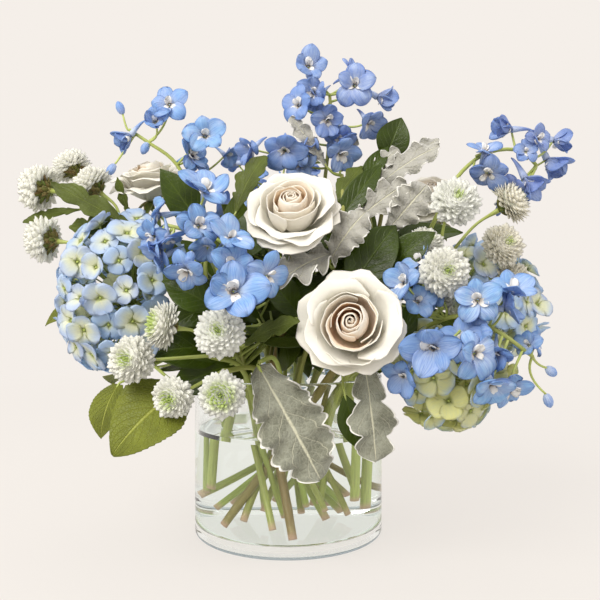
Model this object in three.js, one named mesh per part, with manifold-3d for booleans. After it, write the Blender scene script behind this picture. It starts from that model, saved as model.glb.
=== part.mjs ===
// A vase of cut flowers: a straight glass cylinder of water, and a loose, round bunch of cream roses, white
// button chrysanthemums, blue hydrangeas, blue delphiniums, silver dusty miller and green leaves.
//
// Units are millimetres. +Z is up, -Y is the front. The origin is the middle of the vase's flat bottom.
// Every bloom, stem, spray, sprig and leafy branch is its own mesh. Blooms and stems come first, and each later
// piece is cut back to keep GAP from the ones before it, as petals and leaves give way to what they lie on.

import * as THREE from 'three';
import { mergeVertices } from 'three/addons/utils/BufferGeometryUtils.js';
import Module from 'manifold-3d';

const wasm = await Module();
wasm.setup();

// ---- Driving dimensions ----

const GAP = 0.35; // clearance between neighbouring pieces
const VASE = { radius: 76, height: 127, wall: 2.8, base: 9, footRound: 4, sides: 36 };
const WATER_TOP = 84.6;
const STEM = { rose: 3.2, hydrangea: 3.8, mum: 2.2, delphinium: 2.6, dusty: 2.0, branch: 2.4 }; // radii
const PEDICEL = 0.9; // radius of the little stalk behind a delphinium floret
const BRANCHLET = 1.2; // radius of a chrysanthemum's side stem and of a leaf stalk
const TUBE_SIDES = 5;

const LOOKS = {
  glass: { color: 0xe9f2f1, roughness: 0.03, metalness: 0, transparent: true, opacity: 0.25 },
  water: { color: 0xe3eeee, roughness: 0.05, metalness: 0, transparent: true, opacity: 0.35 },
  rose: { color: 0xf1e6d4, roughness: 0.6, metalness: 0 },
  mum: { color: 0xf2f3e2, roughness: 0.6, metalness: 0 },
  hydrangea: { color: 0xa9c4e6, roughness: 0.6, metalness: 0 },
  delphinium: { color: 0x7396dd, roughness: 0.55, metalness: 0 },
  silver: { color: 0xb4b7b3, roughness: 0.9, metalness: 0 },
  leaf: { color: 0x3c6120, roughness: 0.45, metalness: 0 },
  stem: { color: 0x6f8a3c, roughness: 0.5, metalness: 0 },
};

// ---- The bunch ----

// Roses: middle of the bloom, the way it faces [turn, rise], its radius, and its stem's mouth and foot.
const ROSES = [
  { at: [43, -121, 171], face: [-8, 12], radius: 33, mouth: [17, -46, 108], foot: [-44, -38, 16] },
  { at: [4, -98, 247], face: [-3, 38], radius: 32, mouth: [-14, -28, 112], foot: [4, -60, 12] },
  { at: [-112, -8, 284], face: [-25, 72], radius: 28, mouth: [-27, 4, 112], foot: [30, 22, 14] },
  { at: [117, 0, 268], face: [-6, 60], radius: 31, mouth: [26, 4, 112], foot: [-30, 30, 18] },
  { at: [-52, 98, 222], face: [-152, 28], radius: 32, mouth: [-14, 34, 112], foot: [22, 50, 14] },
  { at: [78, 88, 206], face: [142, 20], radius: 31, mouth: [20, 36, 112], foot: [-26, 52, 16] },
];

// Chrysanthemum sprays: a main stem [foot, mouth, fork] and its heads, each with a middle, facing and radius.
const MUM_SPRAYS = [
  {
    foot: [34, -2, 24], mouth: [-34, -14, 112], fork: [-128, -34, 216],
    heads: [
      { at: [-195, -30, 274], face: [-106, 12], radius: 18.5 },
      { at: [-171, -26, 293], face: [-100, 55], radius: 15.5 },
      { at: [-153, -34, 277], face: [-90, 42], radius: 16.5 },
      { at: [-186, -44, 233], face: [-98, 8], radius: 18 },
    ],
  },
  {
    foot: [-2, -40, 24], mouth: [-34, -50, 135], fork: [-54, -86, 148],
    heads: [
      { at: [-80, -124, 171], face: [-62, 12], radius: 15.5 },
      { at: [-42, -128, 166], face: [-5, 15], radius: 16.5 },
      { at: [-102, -116, 148], face: [-20, 5], radius: 16 },
    ],
  },
  {
    foot: [26, -48, 30], mouth: [-20, -57, 134], fork: [-44, -92, 138],
    heads: [
      { at: [-73, -124, 124], face: [-16, -5], radius: 14 },
      { at: [-41, -126, 126], face: [0, 0], radius: 15.5 },
    ],
  },
  {
    foot: [-44, 2, 20], mouth: [38, -12, 112], fork: [112, -48, 208],
    heads: [
      { at: [117, -92, 256], face: [5, 25], radius: 17.5 },
      { at: [100, -74, 228], face: [20, 40], radius: 13.5 },
      { at: [106, -110, 206], face: [5, 5], radius: 17 },
      { at: [169, -50, 261], face: [62, 30], radius: 17 },
    ],
  },
  {
    foot: [-8, 30, 22], mouth: [44, -24, 112], fork: [124, -40, 186],
    heads: [
      { at: [160, -58, 228], face: [22, 18], radius: 16 },
      { at: [174, -38, 202], face: [42, 16], radius: 16 },
      { at: [119, -92, 187], face: [10, -14], radius: 11.5 },
    ],
  },
  {
    foot: [8, -8, 20], mouth: [-4, 56, 114], fork: [-2, 88, 160],
    heads: [
      { at: [-88, 88, 158], face: [-140, 8], radius: 16 },
      { at: [14, 118, 196], face: [176, 22], radius: 17 },
    ],
  },
];

// Hydrangeas: middle, radii along X, Y and Z, and the stem's mouth and foot.
const HYDRANGEAS = [
  { at: [-122, -52, 192], radii: [48, 44, 60], mouth: [-46, -18, 114], foot: [-52, -22, 40] },
  { at: [112, -80, 134], radii: [41, 38, 34], mouth: [50, -38, 136], foot: [46, -34, 34] },
  { at: [158, -8, 186], radii: [44, 42, 48], mouth: [50, 8, 112], foot: [48, -2, 20] },
  { at: [8, 92, 148], radii: [50, 38, 40], mouth: [6, 46, 112], foot: [-8, 58, 20] },
];

// Delphinium sprays: the stem from foot to tip, open florets [x, y, z, turn, rise, radius] facing that way, bells
// that are half open, and closed buds. Each hangs on a stalk from the stem.
const DELPHINIUMS = [
  {
    stem: [[24, -14, 16], [-20, -8, 112], [-56, -8, 208], [-88, -20, 294], [-111, -20, 312], [-126, -20, 322]],
    open: [[-93, -25, 340, -5, 10, 14.5], [-64, -35, 313, 12, 6, 17], [-50, -18, 302, 60, -20, 11]],
    bell: [[-128, -25, 314, -78, -32, 9]],
    bud: [[-113, -22, 307], [-133, -20, 339], [-138, -28, 289]],
  },
  {
    stem: [[-10, -64, 20], [-30, -32, 114], [-44, -74, 190], [-50, -104, 214], [-62, -116, 231], [-78, -118, 236]],
    open: [[-53, -112, 259, 18, 48, 17], [-84, -108, 243, -72, 8, 14], [-82, -116, 220, -60, -28, 13],
      [-36, -124, 226, 34, 34, 15], [-62, -130, 206, -20, -38, 14], [-12, -122, 203, 46, -12, 15],
      [-32, -136, 192, 0, 14, 20]],
    bell: [],
    bud: [[-60, -134, 214]],
  },
  {
    stem: [[-30, -46, 22], [4, -6, 112], [20, -10, 210], [30, -20, 290], [34, -20, 330], [33, -18, 350]],
    open: [[16, -25, 370, 5, 6, 14.5], [9, -35, 337, -34, 2, 15], [52, -32, 353, -10, 6, 16],
      [30, -36, 326, 10, -24, 14], [62, -32, 325, 38, -30, 14], [-27, -45, 301, -50, -24, 14],
      [-2, -54, 299, 2, -34, 16], [40, -36, 300, 30, -34, 14]],
    bell: [[76, -22, 346, 86, -12, 10], [15, -36, 306, 24, -46, 9]],
    bud: [],
  },
  {
    stem: [[-52, 14, 26], [46, -3, 114], [96, -38, 214], [116, -50, 258], [130, -46, 282], [152, -42, 299],
      [178, -40, 301], [190, -40, 290]],
    open: [[189, -44, 309, 24, 4, 11], [150, -52, 282, -14, -44, 15], [165, -34, 266, 40, -52, 14]],
    bell: [[166, -40, 319, -74, 14, 10], [211, -34, 311, 78, 4, 10], [204, -36, 291, 62, -46, 11],
      [184, -46, 275, 54, -42, 11]],
    bud: [],
  },
  {
    stem: [[40, 16, 26], [34, -34, 112], [84, -62, 156], [118, -98, 176], [140, -114, 166], [166, -104, 149]],
    open: [[79, -112, 198, -46, 12, 15], [92, -94, 214, -40, 30, 12], [124, -124, 187, -22, 6, 14],
      [150, -112, 192, 10, 48, 16], [94, -132, 157, -20, -14, 19], [117, -142, 154, 24, 2, 16],
      [147, -114, 129, 30, -26, 14], [78, -112, 137, -38, -24, 14], [131, -128, 134, 10, -34, 15],
      [173, -90, 157, 62, 4, 11]],
    bell: [],
    bud: [[182, -94, 138], [180, -94, 118]],
  },
  {
    stem: [[16, 64, 20], [-26, 20, 112], [-40, 52, 200], [-30, 74, 262], [-8, 74, 300]],
    open: [[-6, 74, 318, 150, 40, 15], [-34, 92, 292, -170, 10, 15], [10, 92, 284, 160, 6, 15],
      [-58, 78, 272, -120, 10, 14], [-14, 100, 262, 178, -8, 15], [-48, 62, 312, -130, 30, 13]],
    bell: [[18, 72, 306, 110, 10, 9]],
    bud: [],
  },
];

// Leafy pieces: a stem from foot to tip, and leaves [base, tip, width, bow, the side it shows (turn, rise)]. The
// bow lifts the middle of the leaf towards the side it shows.
const SPRIGS = [
  {
    name: 'dusty_miller_front_left', look: 'silver', radius: STEM.dusty,
    stem: [[12, -30, 30], [-2, -56, 112], [-5, -66, 134], [-10, -88, 147], [-18, -102, 145]],
    leaves: [[[-19, -104, 143], [21, -112, 70], 40, 5, 8, 12]],
  },
  {
    name: 'dusty_miller_front_right', look: 'silver', radius: STEM.dusty,
    stem: [[20, -18, 30], [36, -54, 112], [46, -60, 134], [54, -80, 146], [54, -96, 142]],
    leaves: [[[54, -98, 140], [61, -100, 77], 28, 4, 4, 8]],
  },
  {
    name: 'dusty_miller_middle', look: 'silver', radius: STEM.dusty,
    stem: [[40, -28, 22], [8, -34, 112], [30, -68, 196], [40, -66, 246], [42, -30, 284]],
    leaves: [[[39, -78, 222], [-5, -108, 199], 34, 4, -10, 48], [[30, -88, 213], [55, -95, 248], 32, 5, -14, 20],
      [[48, -62, 243], [88, -60, 273], 26, 4, -6, 14], [[41, -22, 288], [53, -20, 316], 15, 2, 0, 10],
      [[30, -34, 290], [2, -40, 327], 16, 3, 0, 8]],
  },
  {
    name: 'dusty_miller_right', look: 'silver', radius: STEM.dusty,
    stem: [[14, 14, 22], [30, -20, 112], [60, -48, 200], [70, -46, 246], [78, -28, 284]],
    leaves: [[[74, -62, 238], [101, -70, 270], 32, 4, 4, 14], [[64, -38, 270], [116, -40, 305], 26, 5, -14, 24],
      [[84, -22, 288], [120, -18, 315], 18, 3, 0, 30], [[62, -34, 281], [85, -38, 303], 15, 2, -20, 6]],
  },
  {
    name: 'hydrangea_leaves', look: 'leaf', radius: STEM.branch,
    stem: [[-48, 12, 30], [-56, -14, 112], [-63, -22, 134], [-82, -42, 145], [-98, -64, 140]],
    leaves: [[[-69, -98, 128], [-113, -120, 86], 54, 7, -14, 30], [[-118, -84, 128], [-127, -96, 92], 30, 4, -30, 6],
      [[-150, -30, 186], [-181, -52, 168], 24, 3, -40, 20], [[-112, -10, 132], [-150, 24, 116], 48, 6, -110, 50]],
  },
  {
    name: 'glossy_leaves_left', look: 'leaf', radius: STEM.branch,
    stem: [[-14, 14, 20], [-24, -18, 112], [-50, -62, 168], [-60, -62, 214], [-50, -56, 244]],
    leaves: [[[-62, -84, 190], [-104, -72, 240], 30, 6, -30, 10], [[-47, -104, 181], [-82, -104, 198], 26, 4, -10, 30],
      [[9, -86, 176], [-17, -98, 206], 24, 3, 10, 24], [[-38, -70, 248], [-16, -58, 294], 26, 4, -30, 18],
      [[-62, -50, 240], [-94, -58, 284], 26, 3, 0, 10], [[-30, -100, 156], [9, -124, 174], 17, 3, 0, 34],
      [[-20, -60, 170], [-90, -10, 236], 34, 6, -80, 40]],
  },
  {
    name: 'glossy_leaves_right', look: 'leaf', radius: STEM.branch,
    stem: [[-16, -30, 26], [16, -16, 112], [44, -56, 170], [62, -60, 214], [60, -38, 270]],
    leaves: [[[44, -88, 194], [77, -82, 240], 36, 4, -10, 20], [[72, -82, 210], [103, -92, 234], 22, 3, 6, 30],
      [[75, -30, 296], [88, -34, 328], 26, 3, 4, 8], [[56, -40, 274], [78, -34, 306], 15, 2, -10, 8],
      [[37, -62, 244], [71, -50, 289], 19, 3, -10, 10], [[32, -50, 256], [57, -38, 290], 18, 2, -24, 10],
      [[40, -98, 122], [49, -94, 85], 19, 2, 0, 0], [[76, -82, 146], [90, -78, 188], 17, 2, 10, 10]],
  },
  {
    name: 'glossy_leaves_back', look: 'leaf', radius: STEM.branch,
    stem: [[30, 44, 22], [-14, 14, 114], [-6, 56, 190], [4, 74, 240]],
    leaves: [[[-8, 70, 226], [-62, 60, 274], 34, 6, -150, 40], [[6, 76, 240], [60, 72, 282], 34, 6, 150, 40],
      [[0, 74, 220], [44, 118, 226], 32, 5, 150, 50], [[-8, 62, 196], [-84, 60, 196], 36, 6, -140, 40],
      [[10, 62, 190], [110, 44, 232], 36, 7, 120, 50], [[-4, 84, 196], [-62, 118, 180], 30, 5, -150, 40]],
  },
  {
    name: 'chrysanthemum_leaves', look: 'leaf', radius: STEM.branch,
    stem: [[54, 26, 24], [-38, 14, 112], [-96, -18, 196], [-126, -34, 230]],
    leaves: [[[-108, -56, 236], [-174, -60, 273], 20, 3, -10, 24], [[-128, -50, 244], [-160, -62, 240], 15, 2, -20, 0],
      [[-158, -30, 258], [-205, -34, 247], 14, 2, -10, 40], [[-122, -30, 250], [-132, -34, 282], 10, 1, -30, 0],
      [[-112, 12, 226], [-156, 44, 246], 34, 5, -120, 50]],
  },
];

// ---- Solids ----

function facing([turn, rise]) {
  const a = THREE.MathUtils.degToRad(turn);
  const e = THREE.MathUtils.degToRad(rise);
  return new THREE.Vector3(Math.sin(a) * Math.cos(e), -Math.cos(a) * Math.cos(e), Math.sin(e));
}

const point = (p) => new THREE.Vector3(...p);
const turned = (direction) =>
  new THREE.Quaternion().setFromUnitVectors(new THREE.Vector3(0, 0, 1), direction.clone().normalize());

function solid(geometry) {
  const bare = geometry.clone();
  bare.deleteAttribute('normal');
  bare.deleteAttribute('uv');
  const merged = mergeVertices(bare, 1e-4);
  const mesh = new wasm.Mesh({
    numProp: 3,
    vertProperties: new Float32Array(merged.attributes.position.array),
    triVerts: new Uint32Array(merged.index.array),
  });
  return new wasm.Manifold(mesh);
}

function geometryOf(body) {
  const { vertProperties, triVerts } = body.getMesh();
  const geometry = new THREE.BufferGeometry();
  geometry.setAttribute('position', new THREE.BufferAttribute(vertProperties, 3));
  geometry.setIndex(new THREE.BufferAttribute(triVerts, 1));
  return geometry;
}

const joined = (bodies) => bodies.reduce((all, one) => all.add(one));

// A turned shape about +Z. The profile is [radius, height] points from the lowest to the highest.
function lathe(profile, sides) {
  return new THREE.LatheGeometry(profile.map(([r, z]) => new THREE.Vector2(r, z)), sides).rotateX(Math.PI / 2);
}

// A round tube through the points, closed at both ends.
function tube(points, radius, steps) {
  const ring = new THREE.Shape();
  for (let i = 0; i < TUBE_SIDES; i++) {
    const a = (i / TUBE_SIDES) * 2 * Math.PI;
    ring[i ? 'lineTo' : 'moveTo'](radius * Math.cos(a), radius * Math.sin(a));
  }
  const extrudePath = new THREE.CatmullRomCurve3(points, false, 'centripetal');
  return new THREE.ExtrudeGeometry(ring, { steps, bevelEnabled: false, extrudePath });
}

// A rose: green hip, then a cup of petals that is widest just in front of its middle.
function roseBloom(radius, grow = 0) {
  const r = radius + grow;
  return lathe([[0, -0.92], [0.14, -0.9], [0.34, -0.76], [0.68, -0.56], [0.93, -0.2], [1, 0.12], [0.88, 0.4],
    [0.5, 0.52], [0, 0.5]].map(([a, z]) => [a * r, z * r]), 10);
}

// A button chrysanthemum: green cup of bracts behind, domed cushion of petals in front.
function mumHead(radius, grow = 0) {
  const r = radius + grow;
  return lathe([[0, -0.72], [0.2, -0.7], [0.36, -0.44], [0.82, -0.36], [1, -0.06], [0.86, 0.3], [0.46, 0.52],
    [0, 0.58]].map(([a, z]) => [a * r, z * r]), 8);
}

// A hydrangea head: a rounded mass of florets, a little flatter underneath.
function hydrangeaHead(radii, grow = 0) {
  const dome = new THREE.SphereGeometry(1, 10, 7).rotateX(Math.PI / 2);
  return dome.scale(...radii.map((r) => r + grow));
}

// A delphinium floret seen from the side: a thin spur behind, a funnel, and a shallow dish of petals in front.
function openFloret(radius, grow = 0) {
  const r = radius;
  return lathe([[0, -0.95 * r - grow], [1.2 + grow, -0.5 * r], [0.95 * r + grow, 0.1 * r - grow],
    [r + grow, 0.24 * r + grow], [0, 0.06 * r + grow]], 6);
}

function bellFloret(radius, grow = 0) {
  const r = radius;
  return lathe([[0, -1.7 * r - grow], [1.1 + grow, -0.9 * r], [0.85 * r + grow, -0.3 * r],
    [r + grow, 0.7 * r], [0, 1.05 * r + grow]], 6);
}

function bud(grow = 0) {
  const shape = new THREE.SphereGeometry(1, 5, 4).rotateX(Math.PI / 2);
  return shape.scale(3.6 + grow, 3.6 + grow, 6 + grow);
}

// A leaf: a thin lens with pointed ends, bowed along its length towards the side it shows.
function leafBlade([base, tip, width, bow, turn, rise], grow = 0) {
  const from = point(base);
  const along = point(tip).sub(from);
  const length = along.length();
  const half = width / 2;
  const thick = 1.1 + 2 * grow;
  const blade = lathe([[0, 0], [0.8 * half, 0.18 * length], [half, 0.42 * length], [0.75 * half, 0.72 * length],
    [0, length]], 4);
  const y = along.clone().normalize();
  const shown = facing([turn, rise]);
  const z = shown.sub(y.clone().multiplyScalar(shown.dot(y))).normalize();
  const x = new THREE.Vector3().crossVectors(y, z);
  blade.scale(1 + grow / half, thick / width, 1).rotateX(-Math.PI / 2);
  const places = blade.attributes.position;
  for (let i = 0; i < places.count; i++) {
    const t = places.getY(i) / length;
    places.setZ(i, places.getZ(i) + 4 * bow * t * (1 - t));
  }
  return blade.applyMatrix4(new THREE.Matrix4().makeBasis(x, y, z).setPosition(from));
}

// ---- Pieces, each kept clear of the ones before it ----

const flowers = new THREE.Group();
const placed = [];

function material(look) {
  return new THREE.MeshStandardMaterial(LOOKS[look]);
}

// Adds a piece whose geometry stands in its own frame, and remembers the room it needs.
function stand(name, look, shape, at, direction) {
  const mesh = new THREE.Mesh(shape(0), material(look));
  mesh.name = name;
  mesh.position.set(...at);
  mesh.quaternion.copy(turned(direction));
  mesh.updateMatrix();
  flowers.add(mesh);
  placed.push({ name, room: solid(shape(GAP).applyMatrix4(mesh.matrix)) });
}

function boxesMeet(a, b) {
  const [p, q] = [a.boundingBox(), b.boundingBox()];
  return [0, 1, 2].every((i) => p.min[i] < q.max[i] && q.min[i] < p.max[i]);
}

// Adds a piece given as solids in the vase's frame, cut back from every piece before it.
function cutIn(name, look, bodies) {
  let body = joined(bodies(0));
  for (const { room } of placed) {
    if (boxesMeet(body, room)) body = body.subtract(room);
  }
  const parts = body.decompose().sort((a, b) => b.volume() - a.volume());
  const mesh = new THREE.Mesh(geometryOf(parts[0]), material(look));
  mesh.name = name;
  flowers.add(mesh);
  placed.push({ name, room: joined(bodies(GAP)) });
}

// A stem from foot to bloom, straight through the vase and then out to the bloom's back.
function stemPath(foot, mouth, bloom, direction, reach) {
  const neck = point(bloom).addScaledVector(direction, -reach);
  const lead = neck.clone().addScaledVector(direction, -0.35 * neck.distanceTo(point(mouth)));
  return [point(foot), point(foot).lerp(point(mouth), 0.5), point(mouth), lead, neck];
}

function vase(grow = 0) {
  const outer = VASE.radius + grow;
  const inner = VASE.radius - VASE.wall - grow;
  const { height, base, footRound: f, wall, sides } = VASE;
  const lip = wall / 2;
  return lathe([[0, -grow], [outer - f, -grow], [outer - 0.3 * f, 0.3 * f - grow], [outer, f],
    [outer, height - lip], [outer - 0.3 * wall, height + grow], [inner + 0.3 * wall, height + grow],
    [inner, height - lip], [inner, base + 3], [inner - 3, base + grow], [0, base + grow]], sides);
}

stand('vase', 'glass', vase, [0, 0, 0], new THREE.Vector3(0, 0, 1));

ROSES.forEach(({ at, face, radius }, i) => {
  stand(`rose_${i + 1}`, 'rose', (grow) => roseBloom(radius, grow), at, facing(face));
});

let headNumber = 0;
for (const { heads } of MUM_SPRAYS) {
  for (const { at, face, radius } of heads) {
    headNumber += 1;
    stand(`chrysanthemum_${headNumber}`, 'mum', (grow) => mumHead(radius, grow), at, facing(face));
  }
}

ROSES.forEach(({ at, face, radius, mouth, foot }, i) => {
  const path = stemPath(foot, mouth, at, facing(face), 0.9 * radius);
  cutIn(`rose_stem_${i + 1}`, 'stem', (grow) => [solid(tube(path, STEM.rose + grow, 6))]);
});

MUM_SPRAYS.forEach(({ foot, mouth, fork, heads }, i) => {
  const main = [point(foot), point(foot).lerp(point(mouth), 0.5), point(mouth), point(fork)];
  cutIn(`chrysanthemum_stem_${i + 1}`, 'stem', (grow) => [
    solid(tube(main, STEM.mum + grow, 5)),
    ...heads.map(({ at, face, radius }) => {
      const neck = point(at).addScaledVector(facing(face), -0.7 * radius);
      const lead = neck.clone().addScaledVector(facing(face), -0.3 * neck.distanceTo(point(fork)));
      return solid(tube([point(fork), lead, neck], BRANCHLET + grow, 3));
    }),
  ]);
});

DELPHINIUMS.forEach(({ stem, open, bell, bud: buds }, i) => {
  const path = stem.map(point);
  const line = new THREE.CatmullRomCurve3(path, false, 'centripetal').getPoints(40);
  const nearest = (p) => line.reduce((best, q) => (q.distanceTo(p) < best.distanceTo(p) ? q : best));
  const florets = [
    ...open.map(([x, y, z, turn, rise, r]) => ({ at: [x, y, z], way: facing([turn, rise]), shape: openFloret, r })),
    ...bell.map(([x, y, z, turn, rise, r]) => ({ at: [x, y, z], way: facing([turn, rise]), shape: bellFloret, r })),
  ];
  cutIn(`delphinium_${i + 1}`, 'delphinium', (grow) => [
    solid(tube(path, STEM.delphinium + grow, 2 * path.length)),
    ...florets.flatMap(({ at, way, shape, r }) => {
      const back = point(at).addScaledVector(way, -0.3 * r);
      const stalk = tube([nearest(back), back], PEDICEL + grow, 1);
      return [solid(shape(r, grow).applyQuaternion(turned(way)).translate(...at)), solid(stalk)];
    }),
    ...buds.flatMap((at) => {
      const way = point(at).sub(nearest(point(at)));
      const stalk = tube([nearest(point(at)), point(at)], PEDICEL + grow, 1);
      return [solid(bud(grow).applyQuaternion(turned(way)).translate(...at)), solid(stalk)];
    }),
  ]);
});

SPRIGS.forEach(({ name, look, radius, stem, leaves }) => {
  const path = stem.map(point);
  const line = new THREE.CatmullRomCurve3(path, false, 'centripetal').getPoints(40).slice(20);
  const nearest = (p) => line.reduce((best, q) => (q.distanceTo(p) < best.distanceTo(p) ? q : best));
  cutIn(name, look, (grow) => [
    solid(tube(path, radius + grow, 6)),
    ...leaves.flatMap((leaf) => {
      const base = point(leaf[0]);
      const into = base.clone().lerp(point(leaf[1]), 0.12);
      return [solid(leafBlade(leaf, grow)), solid(tube([nearest(base), base, into], BRANCHLET + grow, 2))];
    }),
  ]);
});

HYDRANGEAS.forEach(({ at, radii, mouth, foot }, i) => {
  const way = point(at).sub(point(mouth)).normalize();
  const path = stemPath(foot, mouth, at, way, 0.3 * radii[2]);
  cutIn(`hydrangea_${i + 1}`, 'hydrangea', (grow) => [
    solid(tube(path, STEM.hydrangea + grow, 6)),
    solid(hydrangeaHead(radii, grow).translate(...at)),
  ]);
});

cutIn('water', 'water', () => {
  const r = VASE.radius - VASE.wall - GAP;
  const floor = VASE.base + GAP;
  return [solid(lathe([[0, floor], [r - 3.2, floor], [r, floor + 3.2], [r, WATER_TOP], [0, WATER_TOP]], VASE.sides))];
});

export default flowers;
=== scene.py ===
import math

import bpy
import numpy as np
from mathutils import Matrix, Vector


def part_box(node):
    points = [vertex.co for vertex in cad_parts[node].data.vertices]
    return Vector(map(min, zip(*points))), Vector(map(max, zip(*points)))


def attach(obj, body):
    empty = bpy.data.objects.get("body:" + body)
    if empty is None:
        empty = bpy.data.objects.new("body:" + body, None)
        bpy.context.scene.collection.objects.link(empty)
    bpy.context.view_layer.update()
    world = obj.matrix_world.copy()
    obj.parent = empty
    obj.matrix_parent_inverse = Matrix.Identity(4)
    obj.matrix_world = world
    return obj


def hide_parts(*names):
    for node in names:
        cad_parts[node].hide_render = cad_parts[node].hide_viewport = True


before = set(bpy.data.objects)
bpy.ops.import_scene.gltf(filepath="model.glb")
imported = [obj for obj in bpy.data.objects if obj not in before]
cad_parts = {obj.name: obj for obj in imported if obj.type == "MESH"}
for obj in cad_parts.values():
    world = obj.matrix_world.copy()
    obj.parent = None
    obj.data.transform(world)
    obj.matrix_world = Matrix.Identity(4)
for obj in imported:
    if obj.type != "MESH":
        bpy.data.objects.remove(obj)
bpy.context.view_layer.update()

bl_info = {
    "name": "Flower arrangement in a vase",
    "version": (1, 0, 0),
    "blender": (4, 5, 0),
    "location": "3D View > Sidebar > Bouquet",
    "description": "Builds a loose bunch of cut flowers standing in a glass vase of water",
    "category": "Add Mesh",
}

MM = 0.001
GOLDEN = math.radians(137.508)
GLASS_IOR, WATER_IOR = 1.46, 1.33
CAMERA_PLACE = (0.0094, -0.578, 0.187)


def tone(red, green, blue):
    """A colour given as 0 to 255 on a screen, as the linear values that shaders take."""
    c = np.array([red, green, blue]) / 255.0
    return tuple(np.where(c <= 0.04045, c / 12.92, ((c + 0.055) / 1.055) ** 2.4))


def half_size(node, axis):
    """Half of a CAD node's extent along an axis, in metres."""
    low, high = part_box(node)
    return (high[axis] - low[axis]) / 2


# ---- The bunch, in millimetres in the vase's frame ----

# Rose stems: where each passes the vase's mouth, its cut foot, and how brown it is.
ROSE_STEMS = [
    ([17, -46, 108], [-44, -38, 16], 0.75),
    ([-14, -28, 112], [4, -60, 12], 0.9),
    ([-27, 4, 112], [30, 22, 14], 0.15),
    ([26, 4, 112], [-30, 30, 18], 0.5),
    ([-14, 34, 112], [22, 50, 14], 0.3),
    ([20, 36, 112], [-26, 52, 16], 0.2),
]

# Chrysanthemum sprays: foot, mouth, fork, and how many heads branch from the fork.
MUM_SPRAYS = [
    ([34, -2, 24], [-34, -14, 112], [-128, -34, 216], 4),
    ([-2, -40, 24], [-34, -50, 135], [-54, -86, 148], 3),
    ([26, -48, 30], [-20, -57, 134], [-44, -92, 138], 2),
    ([-44, 2, 20], [38, -12, 112], [112, -48, 208], 4),
    ([-8, 30, 22], [44, -24, 112], [124, -40, 186], 3),
    ([8, -8, 20], [-4, 56, 114], [-2, 88, 160], 2),
]

# How each chrysanthemum head is coloured: how green its heart is, and how warm its petals are.
MUM_HUES = [
    (0.30, 0.35), (0.35, 0.35), (0.30, 0.40), (0.30, 0.30), (0.95, 0.35), (0.65, 0.10), (0.75, 0.30),
    (0.85, 0.25), (1.00, 0.10), (0.55, 0.10), (0.60, 0.30), (0.60, 0.30), (0.50, 0.95), (0.55, 0.95),
    (0.55, 0.95), (0.95, 0.60), (0.45, 0.30), (0.55, 0.25),
]

# Hydrangeas: middle, radii along X, Y and Z, the stem's mouth and foot, and how green its florets are.
HYDRANGEAS = [
    ([-122, -52, 192], [48, 44, 60], [-46, -18, 114], [-52, -22, 40], 0.10),
    ([112, -80, 134], [41, 38, 34], [50, -38, 136], [46, -34, 34], 0.75),
    ([158, -8, 186], [44, 42, 48], [50, 8, 112], [48, -2, 20], 0.25),
    ([8, 92, 148], [50, 38, 40], [6, 46, 112], [-8, 58, 20], 0.30),
]

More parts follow.
